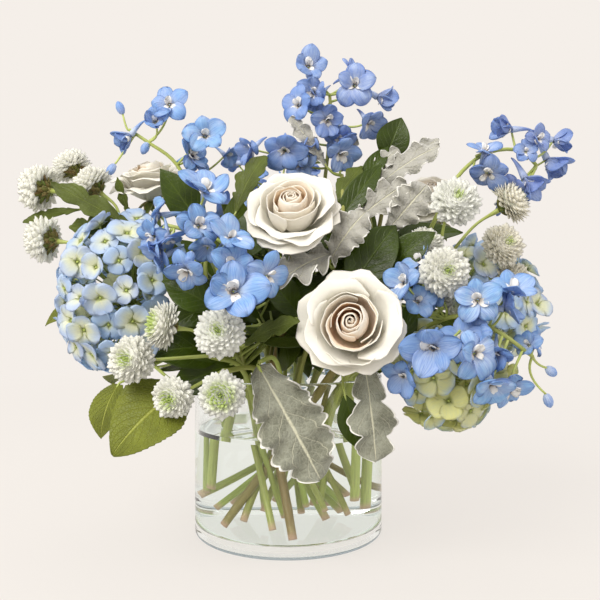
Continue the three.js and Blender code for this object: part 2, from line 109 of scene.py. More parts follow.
# Delphinium sprays: the stem from foot to tip, open florets [x, y, z, turn, rise, radius], half open bells,
# buds, and how violet the spray is.
DELPHINIUMS = [
    {
        "stem": [[24, -14, 16], [-20, -8, 112], [-56, -8, 208], [-88, -20, 294], [-111, -20, 312],
                 [-126, -20, 322]],
        "open": [[-93, -25, 340, -5, 10, 14.5], [-64, -35, 313, 12, 6, 17], [-50, -18, 302, 60, -20, 11]],
        "bell": [[-128, -25, 314, -78, -32, 9]],
        "bud": [[-113, -22, 307], [-133, -20, 339], [-138, -28, 289]],
        "violet": 0.15,
    },
    {
        "stem": [[-10, -64, 20], [-30, -32, 114], [-44, -74, 190], [-50, -104, 214], [-62, -116, 231],
                 [-78, -118, 236]],
        "open": [[-53, -112, 259, 18, 48, 17], [-84, -108, 243, -72, 8, 14], [-82, -116, 220, -60, -28, 13],
                 [-36, -124, 226, 34, 34, 15], [-62, -130, 206, -20, -38, 14],
                 [-12, -122, 203, 46, -12, 15],
                 [-32, -136, 192, 0, 14, 20]],
        "bell": [],
        "bud": [[-60, -134, 214]],
        "violet": 0.05,
    },
    {
        "stem": [[-30, -46, 22], [4, -6, 112], [20, -10, 210], [30, -20, 290], [34, -20, 330],
                 [33, -18, 350]],
        "open": [[16, -25, 370, 5, 6, 14.5], [9, -35, 337, -34, 2, 15], [52, -32, 353, -10, 6, 16],
                 [30, -36, 326, 10, -24, 14], [62, -32, 325, 38, -30, 14], [-27, -45, 301, -50, -24, 14],
                 [-2, -54, 299, 2, -34, 16], [40, -36, 300, 30, -34, 14]],
        "bell": [[76, -22, 346, 86, -12, 10], [15, -36, 306, 24, -46, 9]],
        "bud": [],
        "violet": 0.55,
    },
    {
        "stem": [[-52, 14, 26], [46, -3, 114], [96, -38, 214], [116, -50, 258], [130, -46, 282],
                 [152, -42, 299],
                 [178, -40, 301], [190, -40, 290]],
        "open": [[189, -44, 309, 24, 4, 11], [150, -52, 282, -14, -44, 15], [165, -34, 266, 40, -52, 14]],
        "bell": [[166, -40, 319, -74, 14, 10], [211, -34, 311, 78, 4, 10], [204, -36, 291, 62, -46, 11],
                 [184, -46, 275, 54, -42, 11]],
        "bud": [],
        "violet": 0.65,
    },
    {
        "stem": [[40, 16, 26], [34, -34, 112], [84, -62, 156], [118, -98, 176], [140, -114, 166],
                 [166, -104, 149]],
        "open": [[79, -112, 198, -46, 12, 15], [92, -94, 214, -40, 30, 12], [124, -124, 187, -22, 6, 14],
                 [150, -112, 192, 10, 48, 16], [94, -132, 157, -20, -14, 19], [117, -142, 154, 24, 2, 16],
                 [147, -114, 129, 30, -26, 14], [78, -112, 137, -38, -24, 14],
                 [131, -128, 134, 10, -34, 15],
                 [173, -90, 157, 62, 4, 11]],
        "bell": [],
        "bud": [[182, -94, 138], [180, -94, 118]],
        "violet": 0.10,
    },
    {
        "stem": [[16, 64, 20], [-26, 20, 112], [-40, 52, 200], [-30, 74, 262], [-8, 74, 300]],
        "open": [[-6, 74, 318, 150, 40, 15], [-34, 92, 292, -170, 10, 15], [10, 92, 284, 160, 6, 15],
                 [-58, 78, 272, -120, 10, 14], [-14, 100, 262, 178, -8, 15], [-48, 62, 312, -130, 30, 13]],
        "bell": [[18, 72, 306, 110, 10, 9]],
        "bud": [],
        "violet": 0.30,
    },
]

# Leafy pieces: a stem from foot to tip, and leaves [base, tip, width, bow, the side shown (turn, rise),
# kind].
SPRIGS = {
    "dusty_miller_front_left": (
        [[12, -30, 30], [-2, -56, 112], [-5, -66, 134], [-10, -88, 147], [-18, -102, 145]],
        [[[-19, -104, 143], [23, -112, 68], 52, 5, 8, 12, "silver_broad"]],
    ),
    "dusty_miller_front_right": (
        [[20, -18, 30], [36, -54, 112], [46, -60, 134], [54, -80, 146], [54, -96, 142]],
        [[[54, -98, 140], [61, -100, 77], 36, 4, 4, 8, "silver_waisted"]],
    ),
    "dusty_miller_middle": (
        [[40, -28, 22], [8, -34, 112], [30, -68, 196], [40, -66, 246], [42, -30, 284]],
        [[[39, -78, 222], [-5, -108, 199], 34, 4, -10, 48, "silver"],
         [[30, -88, 213], [55, -95, 248], 32, 5, -14, 20, "silver"],
         [[48, -62, 243], [88, -60, 273], 26, 4, -6, 14, "silver"],
         [[41, -22, 288], [53, -20, 316], 15, 2, 0, 10, "silver"],
         [[30, -34, 290], [2, -40, 327], 16, 3, 0, 8, "silver"]],
    ),
    "dusty_miller_right": (
        [[14, 14, 22], [30, -20, 112], [60, -48, 200], [70, -46, 246], [78, -28, 284]],
        [[[74, -62, 238], [101, -70, 270], 32, 4, 4, 14, "silver"],
         [[64, -38, 270], [116, -40, 305], 26, 5, -14, 24, "silver"],
         [[84, -22, 288], [120, -18, 315], 18, 3, 0, 30, "silver"],
         [[62, -34, 281], [85, -38, 303], 15, 2, -20, 6, "silver"]],
    ),
    "hydrangea_leaves": (
        [[-48, 12, 30], [-56, -14, 112], [-63, -22, 134], [-82, -42, 145], [-98, -64, 140]],
        [[[-69, -98, 128], [-113, -120, 86], 54, 7, -14, 30, "ribbed"],
         [[-118, -84, 128], [-127, -96, 92], 30, 4, -30, 6, "ribbed"],
         [[-150, -30, 186], [-181, -52, 168], 24, 3, -40, 20, "ribbed"],
         [[-112, -10, 132], [-150, 24, 116], 48, 6, -110, 50, "ribbed"]],
    ),
    "glossy_leaves_left": (
        [[-14, 14, 20], [-24, -18, 112], [-50, -62, 168], [-60, -62, 214], [-50, -56, 244]],
        [[[-44, -46, 150], [-102, -68, 148], 38, 6, -14, 24, "glossy"],
         [[-40, -56, 140], [-84, -70, 122], 30, 5, -6, 10, "glossy"],
         [[-62, -84, 190], [-104, -72, 240], 30, 6, -30, 10, "glossy"],
         [[-47, -104, 181], [-82, -104, 198], 26, 4, -10, 30, "glossy"],
         [[9, -86, 176], [-17, -98, 206], 24, 3, 10, 24, "glossy"],
         [[-38, -70, 248], [-16, -58, 294], 26, 4, -30, 18, "lobed"],
         [[-62, -50, 240], [-94, -58, 284], 26, 3, 0, 10, "glossy"],
         [[-30, -100, 156], [9, -124, 174], 17, 3, 0, 34, "lobed"],
         [[-20, -60, 170], [-90, -10, 236], 34, 6, -80, 40, "glossy"]],
    ),
    "glossy_leaves_right": (
        [[-16, -30, 26], [16, -16, 112], [44, -56, 170], [62, -60, 214], [60, -38, 270]],
        [[[44, -88, 194], [77, -82, 240], 36, 4, -10, 20, "glossy"],
         [[72, -82, 210], [103, -92, 234], 22, 3, 6, 30, "glossy"],
         [[75, -30, 296], [88, -34, 328], 26, 3, 4, 8, "glossy"],
         [[56, -40, 274], [78, -34, 306], 15, 2, -10, 8, "glossy"],
         [[37, -62, 244], [71, -50, 289], 19, 3, -10, 10, "glossy"],
         [[32, -50, 256], [57, -38, 290], 18, 2, -24, 10, "lobed"],
         [[40, -98, 122], [49, -94, 85], 19, 2, 0, 0, "glossy"],
         [[76, -82, 146], [90, -78, 188], 17, 2, 10, 10, "glossy"]],
    ),
    "glossy_leaves_back": (
        [[30, 44, 22], [-14, 14, 114], [-6, 56, 190], [4, 74, 240]],
        [[[-8, 70, 226], [-62, 60, 274], 34, 6, -150, 40, "glossy"],
         [[6, 76, 240], [60, 72, 282], 34, 6, 150, 40, "glossy"],
         [[0, 74, 220], [44, 118, 226], 32, 5, 150, 50, "glossy"],
         [[-8, 62, 196], [-84, 60, 196], 36, 6, -140, 40, "glossy"],
         [[10, 62, 190], [110, 44, 232], 36, 7, 120, 50, "glossy"],
         [[-4, 84, 196], [-62, 118, 180], 30, 5, -150, 40, "glossy"]],
    ),
    "chrysanthemum_leaves": (
        [[54, 26, 24], [-38, 14, 112], [-96, -18, 196], [-126, -34, 230]],
        [[[-108, -56, 236], [-174, -60, 273], 20, 3, -10, 24, "lobed"],
         [[-128, -50, 244], [-160, -62, 240], 15, 2, -20, 0, "lobed"],
         [[-158, -30, 258], [-205, -34, 247], 14, 2, -10, 40, "lobed"],
         [[-122, -30, 250], [-132, -34, 282], 10, 1, -30, 0, "lobed"],
         [[-112, 12, 226], [-156, 44, 246], 34, 5, -120, 50, "lobed"]],
    ),
}


# ---- Settings that a user would change ----

def colour_setting(name, description, red, green, blue):
    """A colour that a user can pick, given as 0 to 255 on a screen."""
    return bpy.props.FloatVectorProperty(
        name=name, description=description, default=tone(red, green, blue), subtype="COLOR")


def length_setting(name, description, default):
    """A length that a user can set, in metres."""
    return bpy.props.FloatProperty(name=name, description=description, default=default, unit="LENGTH")


class VaseSettings(bpy.types.PropertyGroup):
    """Sizes and colours of the glass vase and its water."""

    radius: length_setting("Radius", "Outer radius of the vase", half_size("vase", 0))
    height: length_setting("Height", "Height of the vase", 2 * half_size("vase", 2))
    wall: length_setting("Wall", "Thickness of the glass wall", 2.8 * MM)
    base: length_setting("Base", "Thickness of the glass bottom", 9 * MM)
    water_top: length_setting("Water top", "Height of the water's surface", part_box("water")[1].z)
    glass_tint: colour_setting("Glass tint", "Colour of light through the glass", 254, 255, 255)
    water_tint: colour_setting("Water tint", "Colour of light through the water", 253, 255, 254)


class BloomSettings(bpy.types.PropertyGroup):
    """Counts, sizes and colours of the blooms."""

    rose_petals: bpy.props.IntProperty(name="Rose petals", description="Petals in a rose", default=26,
                                       min=12)
    rose_heart: colour_setting("Rose heart", "Petals in a rose's heart", 250, 221, 186)
    rose_outer: colour_setting("Rose outer petals", "Outer petals of a rose", 244, 242, 233)
    mum_petals: bpy.props.IntProperty(
        name="Chrysanthemum petals", description="Petals in a head", default=165, min=40)
    mum_white: colour_setting("Chrysanthemum white", "Outer petals of a head", 254, 255, 251)
    mum_heart: colour_setting("Chrysanthemum green", "Petals in a head's heart", 214, 230, 146)
    floret_radius: length_setting("Hydrangea floret", "Radius of a hydrangea floret", 12.6 * MM)
    hydrangea_blue: colour_setting("Hydrangea blue", "Edges of the florets", 200, 224, 250)
    hydrangea_cream: colour_setting("Hydrangea cream", "Middles of the florets", 248, 249, 228)
    delphinium_blue: colour_setting("Delphinium blue", "Delphinium petals", 156, 204, 244)
    delphinium_violet: colour_setting("Delphinium violet", "Violet delphinium petals", 150, 156, 204)


class LeafSettings(bpy.types.PropertyGroup):
    """Colours of the leaves and stems."""

    glossy_green: colour_setting("Glossy leaf", "Dark glossy leaves", 60, 78, 8)
    ribbed_green: colour_setting("Hydrangea leaf", "Pale ribbed leaves", 116, 124, 34)
    lobed_green: colour_setting("Lobed leaf", "Grey-green lobed leaves", 92, 104, 36)
    silver: colour_setting("Silver leaf", "Felted dusty miller leaves", 146, 149, 128)
    stem_green: colour_setting("Green stem", "Green stems", 146, 168, 66)
    stem_brown: colour_setting("Brown stem", "Woody stems", 140, 112, 72)


class StageSettings(bpy.types.PropertyGroup):
    """Floor, light and camera."""

    floor: colour_setting("Floor", "Colour of the floor and its curved backdrop", 214, 211, 206)
    key_power: bpy.props.FloatProperty(
        name="Key light", description="Power of the large soft light", default=42.0, unit="POWER")
    fill_power: bpy.props.FloatProperty(
        name="Fill light", description="Power of the soft light at the right", default=6.0, unit="POWER")
    sky: bpy.props.FloatProperty(name="Sky", description="Strength of the even light all round",
                                 default=0.88)
    lens: bpy.props.FloatProperty(name="Lens", description="Focal length of the camera", default=42.24,
                                  unit="CAMERA")


# ---- Vectors and paths ----

def unit(v):
    """Each vector divided by its length."""
    return v / np.maximum(np.linalg.norm(v, axis=-1, keepdims=True), 1e-12)


def facing(turn, rise):
    """The direction that is turned from the front about Z, and then raised, in degrees."""
    t, r = np.radians(turn), np.radians(rise)
    return np.stack([np.sin(t) * np.cos(r), -np.cos(t) * np.cos(r), np.sin(r)], -1)


def axes(directions, spins=0.0):
    """Right-handed frames (K, 3, 3) whose third row is the direction, turned about it by the spin."""
    z = unit(np.asarray(directions, float))
    spins = np.reshape(spins, (-1, 1))
    helper = np.where(np.abs(z[:, 2:]) < 0.94, [[0.0, 0.0, 1.0]], [[0.0, 1.0, 0.0]])
    x = unit(np.cross(helper, z))
    y = np.cross(z, x)
    c, s = np.cos(spins), np.sin(spins)
    return np.stack([c * x + s * y, c * y - s * x, z], 1)


def placed(mids, origins, frames):
    """Grids (K, n, m, 3) given in each flower's own frame, moved into the vase's frame. A lone grid, origin
    or frame serves for all K."""
    return mids @ frames[:, None] + np.reshape(origins, (-1, 1, 1, 3))


def nearest(line, points, first=0):
    """For each point, the nearest one of the line's points, from the one numbered first on."""
    away = np.linalg.norm(points[:, None] - line[None, first:], axis=-1)
    return line[np.argmin(away, axis=1) + first]


def smooth(x, low=0.0, high=1.0):
    """0 below low, 1 above high, and 3x² − 2x³ between."""
    x = np.clip((x - low) / (high - low), 0, 1)
    return x * x * (3 - 2 * x)


def smooth_line(points, count):
    """A centripetal Catmull-Rom line through the points, resampled at even steps of its length."""
    p = np.asarray(points, float)
    p = np.vstack([2 * p[0] - p[1], p, 2 * p[-1] - p[-2]])
    knots = np.concatenate([[0], np.cumsum(np.sqrt(np.linalg.norm(np.diff(p, axis=0), axis=1)))])
    u = np.linspace(knots[1], knots[-2] - 1e-9, 16 * len(points))
    i = np.clip(np.searchsorted(knots, u, side="right") - 2, 0, len(points) - 2)
    t0, t1, t2, t3 = (knots[i + k][:, None] for k in range(4))
    p0, p1, p2, p3 = (p[i + k] for k in range(4))
    u = u[:, None]
    a1 = ((t1 - u) * p0 + (u - t0) * p1) / (t1 - t0)
    a2 = ((t2 - u) * p1 + (u - t1) * p2) / (t2 - t1)
    a3 = ((t3 - u) * p2 + (u - t2) * p3) / (t3 - t2)
    b1 = ((t2 - u) * a1 + (u - t0) * a2) / (t2 - t0)
    b2 = ((t3 - u) * a2 + (u - t1) * a3) / (t3 - t1)
    line = ((t2 - u) * b1 + (u - t1) * b2) / (t2 - t1)
    run = np.concatenate([[0], np.cumsum(np.linalg.norm(np.diff(line, axis=0), axis=1))])
    at = np.linspace(0, run[-1], count)
    return np.stack([np.interp(at, run, line[:, k]) for k in range(3)], -1)


def bends(starts, middles, ends, count):
    """K bent lines: quadratic curves (1−u)²·start + 2u(1−u)·middle + u²·end."""
    u = np.linspace(0, 1, count)[None, :, None]
    starts, middles, ends = (np.asarray(p, float)[:, None] for p in (starts, middles, ends))
    return (1 - u) ** 2 * starts + 2 * u * (1 - u) * middles + u * u * ends


# ---- Meshes ----

def shell_faces(n, m):
    """Quads of a closed shell: an upper n by m grid, and a lower one under it that shares its rim."""
    upper = np.arange(n * m).reshape(n, m)
    lower = upper.copy()
    lower[1:-1, 1:-1] = n * m + np.arange((n - 2) * (m - 2)).reshape(n - 2, m - 2)
    sides = [np.stack([g[:-1, :-1], g[:-1, 1:], g[1:, 1:], g[1:, :-1]], -1).reshape(-1, 4)
             for g in (upper, lower)]
    return np.vstack([sides[0], sides[1][:, ::-1]])


def ring_faces(n, m):
    """Quads between n rings of m points, and the triangles that close each end to a pole."""
    g = np.arange(n * m).reshape(n, m)
    h = np.roll(g, -1, 1)
    quads = np.stack([g[:-1], h[:-1], h[1:], g[1:]], -1).reshape(-1, 4)
    first = np.stack([np.full(m, n * m), h[0], g[0]], -1)
    last = np.stack([np.full(m, n * m + 1), g[-1], h[-1]], -1)
    return quads, np.vstack([first, last])


class Growth:
    """One mesh in the making. Each point carries `petal` (along, across, underside) and `flower` (heart,
    tint, hue). Where a shape has K copies, one `flower` may serve for all."""

    def __init__(self):
        self.points, self.petal, self.flower = [], [], []
        self.quads, self.tris, self.quad_looks, self.tri_looks = [], [], [], []
        self.count = 0

    def add(self, points, quads, tris, petal, flower, look):
        """Adds K copies (K, V, 3) of a shape whose faces are numbered from 0."""
        copies, size = points.shape[:2]
        starts = self.count + size * np.arange(copies)[:, None, None]
        self.points.append(points.reshape(-1, 3))
        self.petal.append(np.broadcast_to(petal, points.shape).reshape(-1, 3))
        self.flower.append(np.broadcast_to(flower, points.shape).reshape(-1, 3))
        self.quads.append((quads + starts).reshape(-1, 4))
        self.tris.append((tris + starts).reshape(-1, 3))
        self.quad_looks.append(np.full(copies * len(quads), look))
        self.tri_looks.append(np.full(copies * len(tris), look))
        self.count += copies * size

    def shells(self, mids, s, t, flower, thick, look=0):
        """Closed thin shells about K middle surfaces (K, n, m, 3). With n = across × along, the upper side is
        middle + h·n and the lower one middle − h·n, where h is half the thickness, and nothing on the rim."""
        copies, n, m = mids.shape[:3]
        normal = unit(np.cross(np.gradient(mids, axis=2), np.gradient(mids, axis=1)))
        inside = np.zeros((n, m, 1))
        inside[1:-1, 1:-1] = thick / 2
        upper = (mids + normal * inside).reshape(copies, -1, 3)
        lower = (mids - normal * inside)[:, 1:-1, 1:-1].reshape(copies, -1, 3)
        along = np.broadcast_to(s, mids.shape[:3])
        across = np.broadcast_to(t, mids.shape[:3])
        marks = np.stack([along, across, np.zeros_like(along)], -1)
        under = marks[:, 1:-1, 1:-1] + [0, 0, 1]
        petal = np.concatenate([marks.reshape(copies, -1, 3), under.reshape(copies, -1, 3)], 1)
        flower = np.asarray(flower, float).reshape(-1, 1, 3)
        self.add(np.concatenate([upper, lower], 1), shell_faces(n, m), np.zeros((0, 3), int), petal, flower,
                 look)

    def rings(self, rings, flower, look=0):
        """K closed skins over rings (K, n, m, 3), each end drawn together at the middle of its ring."""
        copies, n, m = rings.shape[:3]
        ends = np.stack([rings[:, 0].mean(1), rings[:, -1].mean(1)], 1)
        points = np.concatenate([rings.reshape(copies, -1, 3), ends], 1)
        along = np.repeat(np.linspace(0, 1, n), m)
        around = np.tile(np.abs(np.linspace(-1, 1, m, endpoint=False)), n)
        petal = np.zeros((n * m + 2, 3))
        petal[:-2, 0], petal[:-2, 1] = along, around
        petal[-1, 0] = 1
        flower = np.asarray(flower, float).reshape(-1, 1, 3)
        self.add(points, *ring_faces(n, m), petal, flower, look)

    def tubes(self, paths, radii, sides, flower, look=0):
        """K round tubes: at each path point c, the ring c + r·(cos a · n + sin a · b), square to the path."""
        paths = np.asarray(paths, float)
        tangent = unit(np.gradient(paths, axis=1))
        chord = np.abs(paths[:, -1] - paths[:, 0])
        helper = np.eye(3)[np.argmin(chord, axis=1)][:, None]
        n = unit(helper - (helper * tangent).sum(-1, keepdims=True) * tangent)
        b = np.cross(tangent, n)
        a = np.linspace(0, 2 * np.pi, sides, endpoint=False)[:, None]
        radii = np.broadcast_to(radii, paths.shape[:2])[:, :, None, None]
        circle = np.cos(a) * n[:, :, None] + np.sin(a) * b[:, :, None]
        self.rings(paths[:, :, None] + radii * circle, flower, look)

    def piece(self, name, looks, nodes):
        """Turns the growth into an object that rides on the root body and stands for the CAD nodes."""
        quads, tris = np.vstack(self.quads), np.vstack(self.tris)
        mesh = bpy.data.meshes.new(name)
        points = np.vstack(self.points)
        mesh.vertices.add(len(points))
        mesh.vertices.foreach_set("co", points.astype(np.float32).ravel())
        mesh.loops.add(4 * len(quads) + 3 * len(tris))
        corners = np.concatenate([quads.ravel(), tris.ravel()])
        mesh.loops.foreach_set("vertex_index", corners.astype(np.int32))
        mesh.polygons.add(len(quads) + len(tris))
        sizes = np.concatenate([np.full(len(quads), 4), np.full(len(tris), 3)])
        mesh.polygons.foreach_set("loop_start", (np.cumsum(sizes) - sizes).astype(np.int32))
        numbers = np.concatenate(self.quad_looks + self.tri_looks)
        mesh.polygons.foreach_set("material_index", numbers.astype(np.int32))
        mesh.update(calc_edges=True)
        mesh.shade_smooth()
        for attribute, values in (("petal", self.petal), ("flower", self.flower)):
            layer = mesh.attributes.new(attribute, "FLOAT_VECTOR", "POINT")
            layer.data.foreach_set("vector", np.vstack(values).astype(np.float32).ravel())
        for look in looks:
            mesh.materials.append(look)
        if mesh.validate():
            raise RuntimeError(f"{name} had faces that are not real")
        made = bpy.data.objects.new(name, mesh)
        bpy.context.scene.collection.objects.link(made)
        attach(made, "root")
        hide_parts(*nodes)
        return made


def steps(count, power=1.5):
    """0 to 1 in steps that get shorter towards the tip."""
    return 1 - (1 - np.linspace(0, 1, count)) ** power


def sides_of(count):
    """−1 to 1 in steps that get shorter towards both edges."""
    return np.sin(np.linspace(-np.pi / 2, np.pi / 2, count))


def outline(s, base, peak, blunt):
    """Half width along a petal: it swells as a quarter sine from base to 1 at peak, and then rounds off as
    (1 − x²)^blunt, leaving a narrow tip."""
    rise = base + (1 - base) * np.sin(np.pi / 2 * np.clip(s / peak, 0, 1))
    fall = (1 - np.clip((s - peak) / (1 - peak), 0, 0.996) ** 2) ** blunt
    return rise * fall


def arc_petals(azimuth, start, length, width, angles, cup, s, form, count=5, wave=0.0):
    """K petals that leave a flower's axis. The middle line is an arc whose slope goes evenly from angles[0]
    to angles[1] above the flower's plane: r = ∫cos, z = ∫sin. Across it the petal is t·w(s) wide, and its
    edges stand cup·t²·w(s) towards the axis, with a ripple of wave·w(s)·s. All lengths share a unit."""
    t = sides_of(count)
    shape = (-1, 1, 1)
    azimuth, length, width, cup = (np.reshape(x, shape) for x in (azimuth, length, width, cup))
    a0, a1 = (np.reshape(x, shape) for x in angles)
    turn = a1 - a0 + 1e-5
    slope = a0 + turn * s[None, :, None]
    r = length * (np.sin(slope) - np.sin(a0)) / turn + np.reshape(start[0], shape)
    z = length * (np.cos(a0) - np.cos(slope)) / turn + np.reshape(start[1], shape)
    w = width * form[None, :, None]
    lift = cup * w * t * t + wave * w * s[None, :, None] * np.sin(3.2 * np.pi * t + 5.0 * azimuth)
    r = r - lift * np.sin(slope)
    z = z + lift * np.cos(slope)
    side = -w * t
    x = r * np.cos(azimuth) - side * np.sin(azimuth)
    y = r * np.sin(azimuth) + side * np.cos(azimuth)
    return np.stack(np.broadcast_arrays(x, y, z), -1)


def turned(profile, sides):
    """Rings (1, n, sides, 3) of a shape turned about Z, from its profile of (radius, height)."""
    profile = np.asarray(profile, float)
    a = np.linspace(0, 2 * np.pi, sides, endpoint=False)
    r, z = profile[:, :1], profile[:, 1:]
    return np.stack([r * np.cos(a), r * np.sin(a), z + 0 * a], -1)[None]


def seat(node, front, back):
    """Middle, axis and radius of a turned CAD bloom, read from its mesh. The axis is the direction in which
    its points spread differently from the other two, and it points to the fuller end. The bloom reaches
    front radii ahead of its middle and back radii behind it."""
    co = np.array([v.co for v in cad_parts[node].data.vertices]).reshape(-1, 3)
    co = np.unique(np.round(co, 5), axis=0)
    mean = co.mean(0)
    values, vectors = np.linalg.eigh(np.cov((co - mean).T))
    axis = vectors[:, 0] if values[1] - values[0] > values[2] - values[1] else vectors[:, 2]
    high = (co - mean) @ axis
    off = ((co - mean - high[:, None] * axis) ** 2).sum(1)
    middle = (high.max() + high.min()) / 2
    if (off * (high - middle)).sum() < 0:
        axis, high = -axis, -high
    radius = (high.max() - high.min()) / (front + back)
    return mean + axis * (high.max() - front * radius), axis, radius


# ---- Materials ----

class Look:
    """A material in the making: each method adds nodes and returns the socket that they give."""

    def __init__(self, name):
        self.material = bpy.data.materials.new(name)
        self.material.use_nodes = True
        self.tree = self.material.node_tree
        self.tree.nodes.clear()
        self.out = self.tree.nodes.new("ShaderNodeOutputMaterial")

    def put(self, kind, inputs=(), **settings):
        node = self.tree.nodes.new("ShaderNode" + kind)
        for name, value in settings.items():
            setattr(node, name, value)
        for key, value in dict(inputs).items():
            if isinstance(value, bpy.types.NodeSocket):
                self.tree.links.new(value, node.inputs[key])
            else:
                node.inputs[key].default_value = value
        return node

    def marks(self, name):
        """The three values of a point attribute."""
        vector = self.put("Attribute", attribute_name=name).outputs["Vector"]
        return self.put("SeparateXYZ", {0: vector}).outputs

    def sum(self, operation, a, b=0.0):
        return self.put("Math", {0: a, 1: b}, operation=operation).outputs[0]

    def step(self, value, low, high):
        """0 below low, 1 above high, smooth between."""
        return self.put("MapRange", {0: value, 1: low, 2: high}, interpolation_type="SMOOTHSTEP").outputs[0]

    def plus(self, a, b):
        return self.sum("ADD", a, b)

    def minus(self, a, b):
        return self.sum("SUBTRACT", a, b)

    def times(self, a, b):
        return self.sum("MULTIPLY", a, b)

    def part(self, share, value, low, high):
        """A step that goes up to share only."""
        return self.times(self.step(value, low, high), share)

    def mix(self, share, a, b):
        """Colour a, and colour b over it by the share. Either may be a plain tuple."""
        a, b = ((*x, 1.0) if isinstance(x, tuple) and len(x) == 3 else x for x in (a, b))
        return self.put("Mix", {0: share, 6: a, 7: b}, data_type="RGBA").outputs[2]

    def paint(self, base, *coats):
        """A base colour with coats of (share, colour) over it, one after another."""
        for share, coat in coats:
            base = self.mix(share, base, coat)
        return base

    def noise(self, scale, detail=3.0, vector=None, rough=0.55):
        vector = vector or self.put("TexCoord").outputs["Object"]
        inputs = {"Vector": vector, "Scale": scale, "Detail": detail, "Roughness": rough}
        return self.put("TexNoise", inputs).outputs[0]

    def streaks(self, detail, *pairs):
        """Noise stretched along a petal, from three pairs of (value, scale)."""
        return self.noise(1.0, detail, self.joined(*(self.times(value, scale) for value, scale in pairs)))

    def net(self, scale):
        """How far a point is from the nearest line of a net of irregular cells."""
        place = self.put("TexCoord").outputs["Object"]
        return self.put("TexVoronoi", {"Scale": scale, "Vector": place},
                        feature="DISTANCE_TO_EDGE").outputs[0]

    def joined(self, x, y, z):
        return self.put("CombineXYZ", {0: x, 1: y, 2: z}).outputs[0]

    def bump(self, height, strength, distance):
        return self.put("Bump", {"Height": height, "Strength": strength, "Distance": distance}).outputs[0]

    def skin(self, colour, roughness, normal, through=0.0, through_colour=None, **extra):
        """A plant's skin: a soft gloss over colour, some of the light coming through from behind."""
        inputs = {"Base Color": colour, "Roughness": roughness, "Normal": normal}
        inputs.update({key.replace("_", " ").title().replace("Ior", "IOR"): value for key,
                       value in extra.items()})
        shader = self.put("BsdfPrincipled", inputs).outputs[0]
        if through:
            behind = self.put("BsdfTranslucent", {"Color": through_colour or colour,
                                                  "Normal": normal}).outputs[0]
            shader = self.put("MixShader", {0: through, 1: shader, 2: behind}).outputs[0]
        self.tree.links.new(shader, self.out.inputs["Surface"])
        return self.material


def colour(value):
    """A setting's colour as a plain tuple."""
    return tuple(value)[:3]


def clear_look(name, tint, ior):
    """Clear glass or water, which lets lamps shine through it. An ior of 1 is an unseen boundary."""
    look = Look(name)
    open_air = look.put("BsdfTransparent", {"Color": (*tint, 1)}).outputs[0]
    if ior > 1:
        clear = look.put("BsdfGlass", {"Color": (*tint, 1), "Roughness": 0.0, "IOR": ior}).outputs[0]
        path = look.put("LightPath").outputs
        lamp = look.sum("MAXIMUM", path["Is Shadow Ray"], path["Is Diffuse Ray"])
        open_air = look.put("MixShader", {0: lamp, 1: clear, 2: open_air}).outputs[0]
    look.tree.links.new(open_air, look.out.inputs["Surface"])
    return look.material


def rose_look(settings):
    """Silky rose petals: peach in the heart, ivory outside with pale rims, greenish where they join the
    hip."""
    look = Look("rose_petals")
    along, across, under = look.marks("petal")
    heart, tint, hue = look.marks("flower")
    outer = look.step(look.plus(heart, look.times(under, 0.2)), 0.30, 0.62)
    veins = look.streaks(4.0, (across, 22.0), (along, 3.0), (tint, 60.0))
    shade = look.paint(
        tone(244, 190, 138),
        (look.step(along, 0.55, 0.98), colour(settings.rose_heart)),
        (look.times(hue, 0.7), tone(250, 238, 214)),
        (outer, colour(settings.rose_outer)),
        (look.part(0.6, along, 0.5, 0.1), tone(226, 226, 180)),
        (look.times(under, 0.5), tone(250, 244, 230)),
        (look.part(0.8, along, 0.88, 0.985), tone(253, 250, 241)),
        (look.part(0.10, veins, 0.42, 0.7), tone(232, 228, 206)),
    )
    height = look.plus(look.times(veins, 0.4), look.noise(90.0, 2.0))
    return look.skin(shade, 0.5, look.bump(height, 0.3, 0.0006), 0.22, sheen_weight=0.15)


def mum_look(settings):
    """White spoon petals, green in the heart."""
    look = Look("chrysanthemum_petals")
    along, across, _ = look.marks("petal")
    heart, tint, hue = look.marks("flower")
    reach = look.minus(look.times(look.times(tint, tint), 0.34), 0.05)
    white = look.mix(look.times(hue, 0.35), colour(settings.mum_white), tone(248, 238, 212))
    tip = look.mix(look.step(look.minus(heart, reach), 0.0, 0.26), colour(settings.mum_heart), white)
    root = look.mix(look.step(heart, 0.05, 0.4), tone(196, 214, 120), tone(246, 249, 232))
    stripe = look.streaks(2.0, (across, 4.0), (along, 1.0), (heart, 300.0))
    shade = look.paint(
        tip,
        (look.step(along, 0.5, 0.1), root),
        (look.part(0.08, stripe, 0.35, 0.75), tone(238, 240, 220)),
    )
    return look.skin(shade, 0.5, look.bump(stripe, 0.2, 0.0003), 0.42)


def hydrangea_look(settings):
    """Thin sepals, cream in the middle and blue at the edge, with faint branching veins."""
    look = Look("hydrangea_sepals")
    along, across, _ = look.marks("petal")
    heart, tint, hue = look.marks("flower")
    blue = look.mix(look.times(tint, 0.7), colour(settings.hydrangea_blue), tone(214, 222, 242))
    cream = look.mix(hue, colour(settings.hydrangea_cream), tone(234, 234, 166))
    edge = look.plus(along, look.times(look.sum("ABSOLUTE", across), 0.2))
    edge = look.minus(edge, look.plus(look.times(hue, 0.9), look.times(tint, 0.25)))
    edge = look.plus(edge, look.times(look.minus(look.noise(70.0, 2.0), 0.5), 0.9))
    veins = look.streaks(3.0, (across, 9.0), (along, 2.5), (heart, 400.0))
    shade = look.paint(
        cream,
        (look.step(edge, -0.15, 0.65), blue),
        (look.step(along, 0.25, 0.05), tone(224, 230, 160)),
        (look.part(0.14, veins, 0.4, 0.7), tone(164, 190, 226)),
    )
    return look.skin(shade, 0.5, look.bump(veins, 0.35, 0.0005), 0.44)


